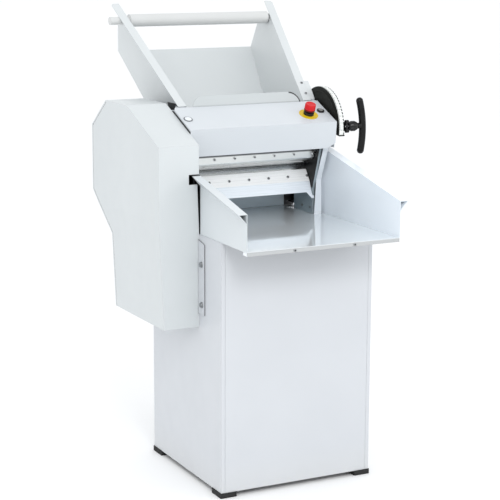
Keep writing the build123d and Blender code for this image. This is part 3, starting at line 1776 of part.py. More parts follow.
def make_lever_arm():
    """Flat arm on the cross shaft, forked at its end round the plunger's pin."""
    arm_end = dial_place(lever_angle, lever_reach - knob_radius)
    blank = make_hull(
        [
            (Pos(*dial_axis) * Circle(cross_shaft_radius + housing_wall)).edge(),
            (Pos(*arm_end) * Circle(knob_spacing)).edge(),
        ]
    )
    arm = along_x(make_face(blank), lever_inner, lever_outer)
    for place in knob_places:
        arm += bar(lever_inner, barrel_x, place, knob_radius)
    arm -= bar(lever_inner, lever_outer, dial_axis, cross_shaft_radius)
    arm -= bar(lever_inner, lever_outer, plunger_axis, pin_radius + running_fit)
    return arm


barrel_end = barrel_x + barrel_length
grip_x = barrel_end + handle_neck_length + grip_radius - sheet
pin_end = grip_x - scraper_thickness


def make_barrel():
    """Plunger barrel with a bulging outline, bored for the pin and its spring."""
    edge = barrel_length / 10
    shoulder = barrel_length / 3
    section = [
        (barrel_x, pin_radius + running_fit),
        (barrel_x, barrel_radius - 5),
        (barrel_x + edge, barrel_radius - 3),
        (barrel_x + shoulder, barrel_radius),
        (barrel_end - shoulder, barrel_radius),
        (barrel_end - edge, barrel_radius - 3),
        (barrel_end, barrel_radius - 7),
        (barrel_end, pin_radius + running_fit),
    ]
    return turned(section, plunger_axis)


def make_t_handle():
    """T-handle: a neck and a bowed grip with rounded ends, across the plunger."""
    y, z = plunger_axis
    neck = bar(barrel_end + part_gap, grip_x, plunger_axis, handle_neck_radius)
    half = grip_length / 2 - grip_radius
    top = (grip_x - grip_bow, y, z + half)
    bottom = (grip_x - grip_bow / 2, y, z - half)
    path = ThreePointArc(top, (grip_x, y, z), bottom)
    section = Plane(origin=path @ 0, z_dir=path % 0) * Circle(grip_radius)
    grip = sweep(section, path)
    ends = Pos(*top) * Sphere(grip_radius) + Pos(*bottom) * Sphere(grip_radius)
    return neck + grip + ends - bar(barrel_end, pin_end, plunger_axis, pin_radius)


parts["lever_arm"] = make_lever_arm()
parts["plunger_barrel"] = make_barrel()
parts["plunger_pin"] = bar(dial_outer + part_gap, pin_end, plunger_axis, pin_radius)
parts["t_handle"] = make_t_handle()

# ---------------------------------------------------------------- controls on the hood


def make_stop_ring():
    """Yellow ring under the stop button."""
    ring = extrude(Circle(stop_ring_radius) - Circle(stop_neck_radius), stop_ring_thickness)
    return hood_plane(stop_x, stop_along) * ring


collar_top = stop_ring_thickness + stop_collar_height


def make_stop_body():
    """Fixed part of the stop button: black collar above the hood, contact block below it."""
    collar = extrude(Circle(stop_head_radius - 2 * part_gap), stop_collar_height)
    neck_length = stop_block_depth + stop_ring_thickness + part_gap
    neck = extrude(Circle(stop_neck_radius - running_fit), neck_length)
    block = extrude(Rectangle(stop_block_size, stop_block_size), stop_block_depth - sheet)
    bore = extrude(Circle(stop_stem_radius + running_fit), 2 * stop_block_depth)
    body = Pos(0, 0, stop_ring_thickness) * collar
    body += Pos(0, 0, -stop_block_depth) * (neck + block)
    body -= Pos(0, 0, -stop_stem_depth - 2 * stop_travel) * bore
    return hood_plane(stop_x, stop_along) * body


def make_stop_head():
    """Red mushroom head with a rounded top, on the stem that enters the contact block."""
    low = collar_top + stop_travel + part_gap
    head = Pos(0, 0, low) * extrude(Circle(stop_head_radius), stop_height - low)
    head = fillet(head.edges().group_by(Axis.Z)[-1], stop_head_round)
    stem = Pos(0, 0, -stop_stem_depth) * extrude(Circle(stop_stem_radius), stop_stem_depth + low)
    return hood_plane(stop_x, stop_along) * (head + stem)


def make_start_bezel():
    """Black ring of the start button with its body under the hood."""
    ring = extrude(Circle(start_ring_radius), start_ring_height)
    body = extrude(Circle(start_neck_radius), -start_body_depth)
    bore = extrude(Circle(start_button_radius + running_fit), start_body_depth - bracket_sheet, both=True)
    return hood_plane(start_x, start_along) * (ring + body - bore)


def make_start_button():
    """Reddish start button."""
    depth = start_body_depth - bracket_sheet - 2 * start_travel
    height = start_ring_height + start_travel
    button = Pos(0, 0, -depth) * extrude(Circle(start_button_radius), depth + height)
    button = chamfer(button.edges().group_by(Axis.Z)[-1], part_gap)
    return hood_plane(start_x, start_along) * button


parts["stop_ring"] = make_stop_ring()
parts["stop_body"] = make_stop_body()
parts["stop_head"] = make_stop_head()
parts["start_bezel"] = make_start_bezel()
parts["start_button"] = make_start_button()

for name, shape in parts.items():
    export_step(shape, f"parts/{name}.step")
print(len(parts), "parts")
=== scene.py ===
import bpy
from math import cos, radians, sin
from mathutils import Matrix, Vector

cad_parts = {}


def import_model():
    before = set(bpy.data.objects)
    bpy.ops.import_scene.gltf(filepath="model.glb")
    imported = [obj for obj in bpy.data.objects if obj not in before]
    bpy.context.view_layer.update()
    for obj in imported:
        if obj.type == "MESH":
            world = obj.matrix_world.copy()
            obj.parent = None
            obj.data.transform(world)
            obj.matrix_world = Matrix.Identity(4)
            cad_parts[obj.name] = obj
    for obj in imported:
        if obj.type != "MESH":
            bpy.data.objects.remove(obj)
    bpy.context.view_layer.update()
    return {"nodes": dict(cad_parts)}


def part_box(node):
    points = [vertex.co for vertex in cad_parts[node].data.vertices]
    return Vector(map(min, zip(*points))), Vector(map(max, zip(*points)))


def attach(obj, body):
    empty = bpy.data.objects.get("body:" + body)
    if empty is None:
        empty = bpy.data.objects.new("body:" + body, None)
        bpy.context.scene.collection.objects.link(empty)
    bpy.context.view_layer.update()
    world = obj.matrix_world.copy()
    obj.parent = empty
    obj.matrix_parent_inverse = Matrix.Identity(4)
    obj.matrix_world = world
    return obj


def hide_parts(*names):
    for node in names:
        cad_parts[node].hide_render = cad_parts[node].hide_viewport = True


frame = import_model()
nodes = frame["nodes"]
bpy.ops.object.select_all(action="DESELECT")

# ---------------------------------------------------------------- studio
# A plain pale floor under the machine and a bright even sky. Three soft boxes,
# a strong one near the camera and a weak one on each side, shade the white coat.

camera_place = (-2.0388, -3.9469, 1.5499)
camera_turn = (78.378, -0.235, -26.894)
camera_data = bpy.data.cameras.new("camera")
camera_data.lens = 113.8
camera_data.sensor_width = 36.0
camera_data.clip_end = 100.0
camera = bpy.data.objects.new("camera", camera_data)
camera.location = camera_place
camera.rotation_euler = tuple(radians(angle) for angle in camera_turn)
bpy.context.scene.collection.objects.link(camera)
bpy.context.scene.camera = camera
bpy.context.scene.view_settings.view_transform = "Standard"

sky_colour = (0.97, 0.985, 1.0, 1.0)
sky_strength = 1.14
world = bpy.data.worlds.new("studio")
world.use_nodes = True
world.node_tree.nodes["Background"].inputs["Color"].default_value = sky_colour
world.node_tree.nodes["Background"].inputs["Strength"].default_value = sky_strength
bpy.context.scene.world = world


def soft_box(name, place, target, size, watts):
    """A large square lamp that faces a point of the machine."""
    lamp = bpy.data.lights.new(name, "AREA")
    lamp.shape = "RECTANGLE"
    lamp.size = size
    lamp.size_y = size
    lamp.energy = watts
    box = bpy.data.objects.new(name, lamp)
    box.location = place
    box.rotation_euler = (Vector(target) - Vector(place)).to_track_quat("-Z", "Y").to_euler()
    bpy.context.scene.collection.objects.link(box)


soft_box("key_box", place=(-1.3, -3.9, 3.4), target=(0.0, 0.0, 0.8), size=1.3, watts=60)
soft_box("left_box", place=(-3.2, 0.6, 1.7), target=(-0.25, 0.3, 1.1), size=1.6, watts=6)
soft_box("fill_box", place=(2.6, -2.6, 2.2), target=(0.0, 0.0, 0.8), size=1.6, watts=12)

floor_side = 80.0
floor_grey = 0.91
bpy.ops.mesh.primitive_plane_add(size=floor_side, location=(0.0, floor_side / 4, 0.0))
floor = bpy.context.object
floor.name = "studio_floor"
bpy.ops.object.transform_apply(location=True)
floor_paint = bpy.data.materials.new("studio_floor_paint")
floor_paint.use_nodes = True
floor_shader = floor_paint.node_tree.nodes["Principled BSDF"]
floor_shader.inputs["Base Color"].default_value = (floor_grey, floor_grey, floor_grey, 1.0)
floor_shader.inputs["Roughness"].default_value = 0.8
floor_shader.inputs["Specular IOR Level"].default_value = 0.2
floor.data.materials.append(floor_paint)

# ---------------------------------------------------------------- cabinet
# Folded steel sheet with a smooth white powder coat: two sides, a front set
# between them, a slotted rear and the deck plate that carries the machine.


def new_material(name, colour, roughness, metallic=0.0):
    """A material with its shader and object coordinates, ready for more nodes."""
    material = bpy.data.materials.new(name)
    material.use_nodes = True
    tree = material.node_tree
    shader = tree.nodes["Principled BSDF"]
    shader.inputs["Base Color"].default_value = (*colour, 1.0)
    shader.inputs["Roughness"].default_value = roughness
    shader.inputs["Metallic"].default_value = metallic
    place = tree.nodes.new("ShaderNodeTexCoord")
    return material, tree, shader, place.outputs["Object"]


def noise(tree, place, scale, detail=2.0, stretch=None):
    """Noise in metres; stretch makes it long along an axis, as brushing is."""
    if stretch:
        mapping = tree.nodes.new("ShaderNodeMapping")
        mapping.inputs["Scale"].default_value = stretch
        tree.links.new(place, mapping.inputs["Vector"])
        place = mapping.outputs["Vector"]
    texture = tree.nodes.new("ShaderNodeTexNoise")
    texture.inputs["Scale"].default_value = scale
    texture.inputs["Detail"].default_value = detail
    tree.links.new(place, texture.inputs["Vector"])
    return texture.outputs["Fac"]


def spread(tree, value, low_in, high_in, low_out, high_out):
    """A value carried from one range to another, and held there."""
    span = tree.nodes.new("ShaderNodeMapRange")
    for socket, number in zip(span.inputs[1:5], (low_in, high_in, low_out, high_out)):
        socket.default_value = number
    tree.links.new(value, span.inputs["Value"])
    return span.outputs["Result"]


def mixed(tree, share, first, second):
    """Two colours mixed; each is a colour or the output of another node."""
    mix = tree.nodes.new("ShaderNodeMix")
    mix.data_type = "RGBA"
    share_socket, first_socket, second_socket = mix.inputs[0], mix.inputs[6], mix.inputs[7]
    tree.links.new(share, share_socket)
    for socket, colour in ((first_socket, first), (second_socket, second)):
        if isinstance(colour, tuple):
            socket.default_value = (*colour, 1.0)
        else:
            tree.links.new(colour, socket)
    colour_output = mix.outputs[2]
    return colour_output


def reckon(tree, operation, first, second):
    """Arithmetic on two values; each is a number or the output of another node."""
    node = tree.nodes.new("ShaderNodeMath")
    node.operation = operation
    for socket, value in zip(node.inputs, (first, second)):
        if isinstance(value, (int, float)):
            socket.default_value = value
        else:
            tree.links.new(value, socket)
    return node.outputs[0]


def along(tree, place, axis):
    """One coordinate of a place or of a direction."""
    split = tree.nodes.new("ShaderNodeSeparateXYZ")
    tree.links.new(place, split.inputs[0])
    return split.outputs[axis]


def from_middle(tree, place):
    """Distance from the machine's middle, to either side."""
    return reckon(tree, "ABSOLUTE", along(tree, place, "X"), 0.0)


def past(tree, value, edge, blend):
    """Zero up to an edge, one beyond it, with a short blend."""
    return spread(tree, value, edge, edge + blend, 0.0, 1.0)


def before(tree, value, edge, blend):
    """One up to an edge, zero beyond it, with a short blend."""
    return spread(tree, value, edge, edge + blend, 1.0, 0.0)


def where_all(tree, mask, *others):
    """One only where every mask is one."""
    for other in others:
        mask = reckon(tree, "MULTIPLY", mask, other)
    return mask


def bumped(tree, shader, height, strength, distance, edge_radius=0.0):
    """Fine relief on the shader, over edges rounded by a small radius."""
    bump = tree.nodes.new("ShaderNodeBump")
    bump.inputs["Strength"].default_value = strength
    bump.inputs["Distance"].default_value = distance
    tree.links.new(height, bump.inputs["Height"])
    if edge_radius:
        bevel = tree.nodes.new("ShaderNodeBevel")
        bevel.samples = 4
        bevel.inputs["Radius"].default_value = edge_radius
        tree.links.new(bevel.outputs["Normal"], bump.inputs["Normal"])
    tree.links.new(bump.outputs["Normal"], shader.inputs["Normal"])


def powder_coat(name, colour, shade, shade_or_plain_where=None, shade_or_plain_colour=(0.012, 0.013, 0.014)):
    """White coat: faint mottle and orange peel, dust low down, soft edges, and a second colour
    where a mask says.
    """
    dust_height, dust_share, dust_grey = 0.10, 0.30, (0.60, 0.60, 0.58)
    glossiest, dullest = 0.30, 0.42
    peel_scale, peel_strength, peel_depth, edge_radius = 700.0, 0.05, 0.0003, 0.0010
    material, tree, shader, place = new_material(name, colour, 0.34)
    mottle = spread(tree, noise(tree, place, 5.0, 3.0), 0.3, 0.7, 0.0, 1.0)
    coat = mixed(tree, mottle, colour, shade)
    dust = spread(tree, along(tree, place, "Z"), 0.0, dust_height, dust_share, 0.0)
    coat = mixed(tree, dust, coat, dust_grey)
    # The second colour is near black painted shade by default; the rear sheet and the right wall
    # pass their plain coat here, beside a lighter copy that is painted light.
    if shade_or_plain_where:
        coat = mixed(tree, shade_or_plain_where(tree, place), coat, shade_or_plain_colour)
    tree.links.new(coat, shader.inputs["Base Color"])
    smudge = spread(tree, noise(tree, place, 22.0, 4.0), 0.35, 0.7, glossiest, dullest)
    tree.links.new(smudge, shader.inputs["Roughness"])
    peel = noise(tree, place, peel_scale, 1.0)
    bumped(tree, shader, peel, peel_strength, peel_depth, edge_radius)
    return material


def finish(material, *names):
    """Give CAD nodes their finish."""
    for name in names:
        mesh = nodes[name].data
        mesh.materials.clear()
        mesh.materials.append(material)


coat_white = (0.570, 0.590, 0.618)
coat_shade = (0.552, 0.572, 0.600)
cabinet_coat = powder_coat("cabinet_white_coat", coat_white, coat_shade)
finish(cabinet_coat, "cabinet_left", "cabinet_right", "cabinet_front", "cabinet_rear")


def under_the_pans(tree, place):
    """The deck between the frames' feet and the rear, coloured near black as painted shade."""
    foot_inside, pan_wall, feet_end, deck_top = 0.186, 0.2185, 0.150, 0.7170
    return where_all(
        tree,
        past(tree, from_middle(tree, place), foot_inside, 0.002),
        before(tree, from_middle(tree, place), pan_wall, 0.0005),
        past(tree, along(tree, place, "Y"), feet_end, 0.002),
        past(tree, along(tree, place, "Z"), deck_top, 0.0005),
    )


# The deck under the pans is painted near black as shade.
finish(powder_coat("deck_coat", coat_white, coat_shade, under_the_pans), "deck_plate")

# ---------------------------------------------------------------- base and feet
# An angle-section ring inside the foot of the cabinet stands on four black
# rubber pads, each with a hole for a floor anchor.


def plain_metal(name, colour, roughness, brushing, bump=0.1):
    """Bare metal with a grain along one axis and a few dull spots."""
    dulled, most_spotted, bump_depth, edge_radius = 0.82, 0.35, 0.0002, 0.0006
    material, tree, shader, place = new_material(name, colour, roughness, 1.0)
    grain = noise(tree, place, 1.0, 3.0, brushing)
    spots = spread(tree, noise(tree, place, 35.0, 4.0), 0.45, 0.75, 0.0, most_spotted)
    dark = tuple(dulled * part for part in colour)
    grained = mixed(tree, grain, colour, dark)
    tree.links.new(mixed(tree, spots, grained, dark), shader.inputs["Base Color"])
    rough = spread(tree, grain, 0.3, 0.7, roughness - 0.03, roughness + 0.06)
    tree.links.new(rough, shader.inputs["Roughness"])
    bumped(tree, shader, grain, bump, bump_depth, edge_radius)
    return material


def moulded(name, colour, roughness, grain=900.0, gloss=0.3):
    """Moulded plastic, rubber or enamel with a fine skin and faint scuffs."""
    scuffed, skin_strength, skin_depth, edge_radius = 0.15, 0.08, 0.0002, 0.0006
    material, tree, shader, place = new_material(name, colour, roughness)
    shade = spread(tree, noise(tree, place, 40.0, 3.0), 0.3, 0.7, 0.0, 1.0)
    pale = tuple(min(1.0, 1.12 * part + 0.004) for part in colour)
    tree.links.new(mixed(tree, shade, colour, pale), shader.inputs["Base Color"])
    scuffs = noise(tree, place, 90.0, 5.0)
    scuffs = spread(tree, scuffs, 0.4, 0.8, roughness, roughness + scuffed)
    tree.links.new(scuffs, shader.inputs["Roughness"])
    shader.inputs["Specular IOR Level"].default_value = gloss
    bumped(tree, shader, noise(tree, place, grain, 2.0), skin_strength, skin_depth, edge_radius)
    return material


pad_rubber = moulded("pad_rubber", (0.018, 0.018, 0.018), 0.7, 500.0)
finish(pad_rubber, "rubber_feet")
base_steel = plain_metal("base_steel", (0.48, 0.49, 0.50), 0.4, (90.0, 90.0, 90.0))
finish(base_steel, "base_frame")

# ---------------------------------------------------------------- side frames
# Two steel plates with the roller windows in them, plain steel along their cut
# edges and painted near black as shade on their upper insides, tied together by round bars.

frame_inner_face = 0.1961
frame_shade_from = 0.790
frame_steel, frame_tree, frame_shader, frame_place = new_material(
    "frame_steel", (0.30, 0.35, 0.38), 0.4, 0.35
)
frame_cloud = noise(frame_tree, frame_place, 14.0, 5.0)
frame_edge = mixed(frame_tree, frame_cloud, (0.30, 0.36, 0.39), (0.40, 0.46, 0.49))
frame_plate = mixed(frame_tree, frame_cloud, (0.30, 0.37, 0.41), (0.38, 0.45, 0.49))
frame_side = from_middle(frame_tree, frame_place)
frame_inner = before(frame_tree, frame_side, frame_inner_face, 0.0002)
# Above this height the inner faces take a near black colour: painted shade.
frame_painted_shade = past(frame_tree, along(frame_tree, frame_place, "Z"), frame_shade_from, 0.010)
frame_face = mixed(frame_tree, frame_painted_shade, frame_plate, (0.010, 0.011, 0.012))
frame_colour = mixed(frame_tree, frame_inner, frame_edge, frame_face)
frame_tree.links.new(frame_colour, frame_shader.inputs["Base Color"])
frame_shader.inputs["Specular IOR Level"].default_value = 0.25
frame_grain = noise(frame_tree, frame_place, 1.0, 3.0, (90.0, 90.0, 700.0))
bumped(frame_tree, frame_shader, frame_grain, 0.08, 0.0002, 0.0012)
finish(frame_steel, "side_frame_right", "side_frame_left")

bar_steel = plain_metal("bar_steel", (0.50, 0.51, 0.52), 0.3, (20.0, 500.0, 500.0))
finish(bar_steel, "cross_bars")

# ---------------------------------------------------------------- outer pans
# Folded sheet pans over the outsides of the frames. Their outsides are coated white;
# their insides are painted near black as shade.


def facing(tree, axis):
    """How far a face looks along an axis, from -1 to 1."""
    normal = tree.nodes.new("ShaderNodeNewGeometry").outputs["True Normal"]
    return along(tree, normal, axis)


def reckon_vector(tree, operation, first, second):
    """Arithmetic on two places or directions; the second may be a fixed one."""
    node = tree.nodes.new("ShaderNodeVectorMath")
    node.operation = operation
    tree.links.new(first, node.inputs[0])
    if isinstance(second, tuple):
        node.inputs[1].default_value = second
    else:
        tree.links.new(second, node.inputs[1])
    return node.outputs["Value" if operation == "DOT_PRODUCT" else "Vector"]


def looks_inward(tree, place, centre, share=(1.0, 1.0, 1.0)):
    """One on the faces that look towards a centre, zero on those that look away."""
    normal = tree.nodes.new("ShaderNodeNewGeometry").outputs["True Normal"]
    away = reckon_vector(tree, "SUBTRACT", place, centre)
    away = reckon_vector(tree, "MULTIPLY", away, share)
    outward = reckon_vector(tree, "DOT_PRODUCT", away, normal)
    return before(tree, outward, -0.0005, 0.001)


def inside_of_pans(tree, place):
    """Faces of the pans that look towards the frames, and the inner sides of their flanges:
    painted shade.
    """
    front_flange_end, flange_reach, pan_middle = 0.043, 0.2189, (0.0, 0.20, 0.86)
    across = reckon(tree, "MULTIPLY", along(tree, place, "X"), facing(tree, "X"))
    inward = where_all(
        tree,
        before(tree, across, -0.05, 0.03),
        past(tree, along(tree, place, "Y"), front_flange_end, 0.002),
    )
    flange = where_all(
        tree,
        looks_inward(tree, place, pan_middle, (0.0, 1.0, 1.0)),
        before(tree, from_middle(tree, place), flange_reach, 0.0002),
    )
    return reckon(tree, "MAXIMUM", inward, flange)


# The pans' insides are painted near black as shade.
finish(powder_coat("pan_coat", coat_white, coat_shade, inside_of_pans), "side_covers")

# ---------------------------------------------------------------- front strips
# The pans' front flanges reach across the edges of the frames. Each is a strip
# of the same sheet that follows the flange, a little in front of it.


def select_faces(piece, wanted):
    """Open a piece in edit mode with only the faces selected that pass a test."""
    bpy.ops.object.mode_set(mode="EDIT")
    bpy.ops.mesh.select_mode(type="FACE")
    bpy.ops.mesh.select_all(action="DESELECT")
    bpy.ops.object.mode_set(mode="OBJECT")
    for face in piece.data.polygons:
        face.select = wanted(face)
    bpy.ops.object.mode_set(mode="EDIT")


def settle(piece, name, body, slot, *replaced):
    """Name a finished piece, let it ride on its body and stand for its CAD nodes."""
    piece.name = name
    piece.data.name = name
    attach(piece, body)
    if replaced:
        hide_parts(*replaced)


bpy.ops.object.select_all(action="DESELECT")
front_strips = bpy.data.objects.new("front_strips", nodes["side_covers"].data.copy())
bpy.context.scene.collection.objects.link(front_strips)
front_strips.select_set(True)
bpy.context.view_layer.objects.active = front_strips


def not_front_flange(face):
    """Everything but the outer side of the front flange below the hood."""
    flange_depth, hood_foot = 0.05, 0.93
    centre = face.center
    return not (face.normal.y < -0.4 and centre.y < flange_depth and centre.z < hood_foot)


flange_inner_edge = 0.2075
frame_waist = 0.82
strip_reach_low = 0.1965
strip_reach_high = 0.2035
strip_foot = 0.7200
flange_foot = 0.735
strip_gap = 0.0004
strip_thickness = 0.0012
select_faces(front_strips, not_front_flange)
bpy.ops.mesh.delete(type="FACE")
bpy.ops.mesh.select_all(action="SELECT")
bpy.ops.mesh.remove_doubles(threshold=0.00002)
bpy.ops.object.mode_set(mode="OBJECT")
for point in front_strips.data.vertices:
    side = 1.0 if point.co.x > 0 else -1.0
    if abs(point.co.x) < flange_inner_edge:
        point.co.x = side * (strip_reach_low if point.co.z < frame_waist else strip_reach_high)
    if point.co.z < flange_foot:
        point.co.z = strip_foot
    point.co.y -= strip_gap
sheet_wall = front_strips.modifiers.new("sheet_wall", "SOLIDIFY")
sheet_wall.thickness = strip_thickness
sheet_wall.offset = -1.0
bpy.ops.object.modifier_apply(modifier="sheet_wall")
# The strips' coat is a lighter, bluish copy of the white coat: painted light on the flanges.
strip_lit_coat = powder_coat("strip_lit_coat", (0.72, 0.76, 0.80), (0.70, 0.74, 0.78))
front_strips.data.materials.clear()
front_strips.data.materials.append(strip_lit_coat)
settle(front_strips, "cover_front_strips", "frame", "white_paint")

# ---------------------------------------------------------------- rear sheet
# A folded sheet closes the rear, coated white; its front faces are a lighter, bluish
# copy of the coat, painted light. Its ends are folded past the frames' feet, between
# the cabinet and the pans, and coloured near black as painted shade.


def rear_side(tree, place):
    """Faces that look to the rear."""
    return past(tree, facing(tree, "Y"), 0.4, 0.1)


# The rear sheet's front faces are a lighter, bluish copy of the coat: painted light.
rear_lit_bluish_coat = ((0.76, 0.87, 0.94), (0.73, 0.84, 0.91))
finish(powder_coat("rear_sheet_coat", *rear_lit_bluish_coat, rear_side, coat_white), "rear_cover")


def joined(pieces):
    """Several objects made into one, the first of them."""
    bpy.ops.object.select_all(action="DESELECT")
    for piece in pieces:
        piece.select_set(True)
    bpy.context.view_layer.objects.active = pieces[0]
    bpy.ops.object.join()
    return pieces[0]


# A near black sheet colour for the rear sheet's ends: painted shade between the cabinet and the
# pans.
painted_shade_sheet, shade_sheet_tree, shade_sheet_shader, shade_sheet_place = new_material(
    "painted_shade_sheet", (0.03, 0.032, 0.034), 0.7
)
shade_sheet_grain = noise(shade_sheet_tree, shade_sheet_place, 400.0, 2.0)
bumped(shade_sheet_tree, shade_sheet_shader, shade_sheet_grain, 0.1, 0.0002)
shade_sheet_colour = mixed(
    shade_sheet_tree,
    noise(shade_sheet_tree, shade_sheet_place, 30.0, 4.0),
    (0.02, 0.021, 0.022),
    (0.05, 0.053, 0.056),
)
shade_sheet_tree.links.new(shade_sheet_colour, shade_sheet_shader.inputs["Base Color"])

rear_low, rear_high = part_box("rear_cover")
end_middle = rear_low[1] - 0.0008
end_foot = 0.7183
end_top = 0.7785
pan_wall_inside = 0.2170
pan_outside = 0.2280
pan_flange_under = 0.7290
pan_flange_top = 0.7325
past_frame = 0.2057
behind_frame = 0.2050
fold_thickness = 0.0012
fold_edge = 0.0006
fold_swell = 0.0002
rear_ends = []
for side in (-1.0, 1.0):
    for inner, outer, low, high in (
        (rear_high[0] - 0.0005, past_frame, end_foot, end_top),
        (behind_frame, pan_wall_inside, pan_flange_top, end_top),
        (behind_frame, pan_outside, end_foot, pan_flange_under),
    ):
        bpy.ops.object.select_all(action="DESELECT")
        bpy.ops.mesh.primitive_cube_add(size=1.0)
        end = bpy.context.object
        end.scale = (outer - inner, fold_thickness, high - low)
        end.location = (side * (inner + outer) / 2, end_middle, (low + high) / 2)
        bpy.ops.object.transform_apply(location=True, scale=True)
        select_faces(end, lambda face: face.normal.y < -0.9)
        bpy.ops.mesh.inset(thickness=fold_edge)
        bpy.ops.mesh.extrude_region_move(
            TRANSFORM_OT_translate={"value": (0.0, -fold_swell, 0.0)}
        )
        bpy.ops.object.mode_set(mode="OBJECT")
        rear_ends.append(end)
rear_sheet_ends = joined(rear_ends)
rear_sheet_ends.data.materials.append(painted_shade_sheet)
settle(rear_sheet_ends, "rear_sheet_ends", "frame", "white_paint")

# ---------------------------------------------------------------- rollers and bearings
# Two ground rollers in cast housings. The upper one turns in bronze bushes in
# blocks that slide in the frames, lifted by eccentrics on the cross shaft.

roller_skin = plain_metal("roller_skin", (0.62, 0.63, 0.63), 0.16, (6.0, 500.0, 500.0))
finish(roller_skin, "lower_roller", "upper_roller")
housing_grain = (120.0, 120.0, 120.0)
housing_iron = plain_metal("housing_iron", (0.045, 0.047, 0.05), 0.5, housing_grain, 0.3)
finish(housing_iron, "bearing_blocks", "lower_bearings", "counter_bearings")
bush_bronze = plain_metal("bush_bronze", (0.50, 0.33, 0.15), 0.35, (200.0, 200.0, 200.0))
finish(bush_bronze, "upper_bushes")
shaft_steel = plain_metal("shaft_steel", (0.42, 0.43, 0.44), 0.28, (20.0, 400.0, 400.0))
finish(shaft_steel, "cross_shaft", "motor_shaft")

# ---------------------------------------------------------------- upper scraper
# A strip of stainless steel with rounded lower corners, held to a bar by seven
# round-headed screws. The strip's top edge is painted dark as the hood's shadow.

scraper_steel = plain_metal("scraper_steel", (0.80, 0.82, 0.81), 0.3, (4.0, 600.0, 600.0))
finish(scraper_steel, "scraper_bar")

hood_shadow_from = 0.9055
strip_steel = scraper_steel.copy()
strip_steel.name = "strip_steel"
strip_tree = strip_steel.node_tree
strip_shader = strip_tree.nodes["Principled BSDF"]
strip_coordinates = next(node for node in strip_tree.nodes if node.type == "TEX_COORD")
strip_height = along(strip_tree, strip_coordinates.outputs["Object"], "Z")
# Above this height the strip is painted dark grey: the hood's shadow.
strip_colour = mixed(
    strip_tree,
    past(strip_tree, strip_height, hood_shadow_from, 0.003),
    strip_shader.inputs["Base Color"].links[0].from_socket,
    (0.12, 0.125, 0.13),
)
strip_tree.links.new(strip_colour, strip_shader.inputs["Base Color"])
finish(strip_steel, "upper_scraper")

screw_grain = (300.0, 300.0, 300.0)
screw_steel = plain_metal("screw_steel", (0.36, 0.37, 0.38), 0.3, screw_grain)
bright_screw_steel = plain_metal("bright_screw_steel", (0.66, 0.67, 0.67), 0.3, screw_grain)
socket_shade = moulded("socket_shade", (0.010, 0.010, 0.010), 0.6)


def extrude(rise):
    """Draw the selected faces out along Z."""
    bpy.ops.mesh.extrude_region_move(TRANSFORM_OT_translate={"value": (0.0, 0.0, rise)})


def model_screw(shank_length, steel=screw_steel):
    """Round-headed socket screw: head below the origin, shank up along Z."""
    head_radius, head_height, shank_radius = 0.004, 0.002, 0.002
    head_slope, head_crown = head_radius * 0.16, head_height * 0.22
    socket_margin, socket_depth = head_radius * 0.30, head_height * 0.7
    bpy.ops.object.select_all(action="DESELECT")
    bpy.ops.mesh.primitive_cylinder_add(
        vertices=24, radius=head_radius, depth=head_height, location=(0.0, 0.0, -head_height / 2)
    )
    screw = bpy.context.object
    bpy.ops.object.transform_apply(location=True)
    screw.data.materials.append(steel)
    screw.data.materials.append(socket_shade)
    select_faces(screw, lambda face: face.normal.z < -0.9)
    bpy.ops.mesh.inset(thickness=head_slope)
    bpy.ops.transform.translate(value=(0.0, 0.0, -head_crown))
    bpy.ops.mesh.inset(thickness=socket_margin)
    extrude(socket_depth)
    # The socket's inner faces take the near black socket colour: painted shade in the recess.
    bpy.context.object.active_material_index = 1
    bpy.ops.object.material_slot_assign()
    bpy.ops.object.mode_set(mode="OBJECT")
    select_faces(screw, lambda face: face.normal.z > 0.9 and face.center.z > -head_height * 0.1)
    bpy.ops.mesh.inset(thickness=head_radius - shank_radius)
    extrude(shank_length)
    bpy.ops.object.mode_set(mode="OBJECT")
    bpy.ops.object.shade_smooth_by_angle(angle=radians(40))
    return screw


def set_out(model, places):
    """Copies of a model, each at a place with its Z along a direction, as one piece."""
    copies = []
    for place, direction in places:
        turn = Vector((0.0, 0.0, 1.0)).rotation_difference(Vector(direction)).to_matrix().to_4x4()
        mesh = model.data.copy()
        mesh.transform(Matrix.Translation(Vector(place)) @ turn)
        one = bpy.data.objects.new("copy", mesh)
        bpy.context.scene.collection.objects.link(one)
        copies.append(one)
    bpy.data.objects.remove(model)
    return joined(copies)


screw_pitch = 0.0635
screw_row = [screw_pitch * number for number in range(-3, 4)]
rearward = (0.0, 1.0, 0.0)
strip_face, strip_middle = 0.037964, 0.899961
scraper_places = [((x, strip_face, strip_middle), rearward) for x in screw_row]
scraper_screws = set_out(model_screw(0.0098, bright_screw_steel), scraper_places)
settle(scraper_screws, "scraper_screw_row", "carriage", "screw_steel", "scraper_screws")

# ---------------------------------------------------------------- chute
# The lower scraper: bright folded sheet that wipes the lower roller and lets
# the dough slide off, on a bar behind it with seven screws. Its near-white top
# is painted light, and its darker, bluish lower facet is painted shade.

chute_fold = 0.8145
chute_lit_sheet, chute_tree, chute_shader, chute_place = new_material(
    "chute_lit_sheet", (0.95, 0.96, 0.96), 0.28, 0.08
)
chute_cloud = noise(chute_tree, chute_place, 18.0, 3.0, (0.4, 1.0, 1.0))
# The near-white colour stands in for light on the top: painted light.
chute_colour = mixed(chute_tree, chute_cloud, (0.975, 0.98, 0.975), (0.95, 0.96, 0.965))
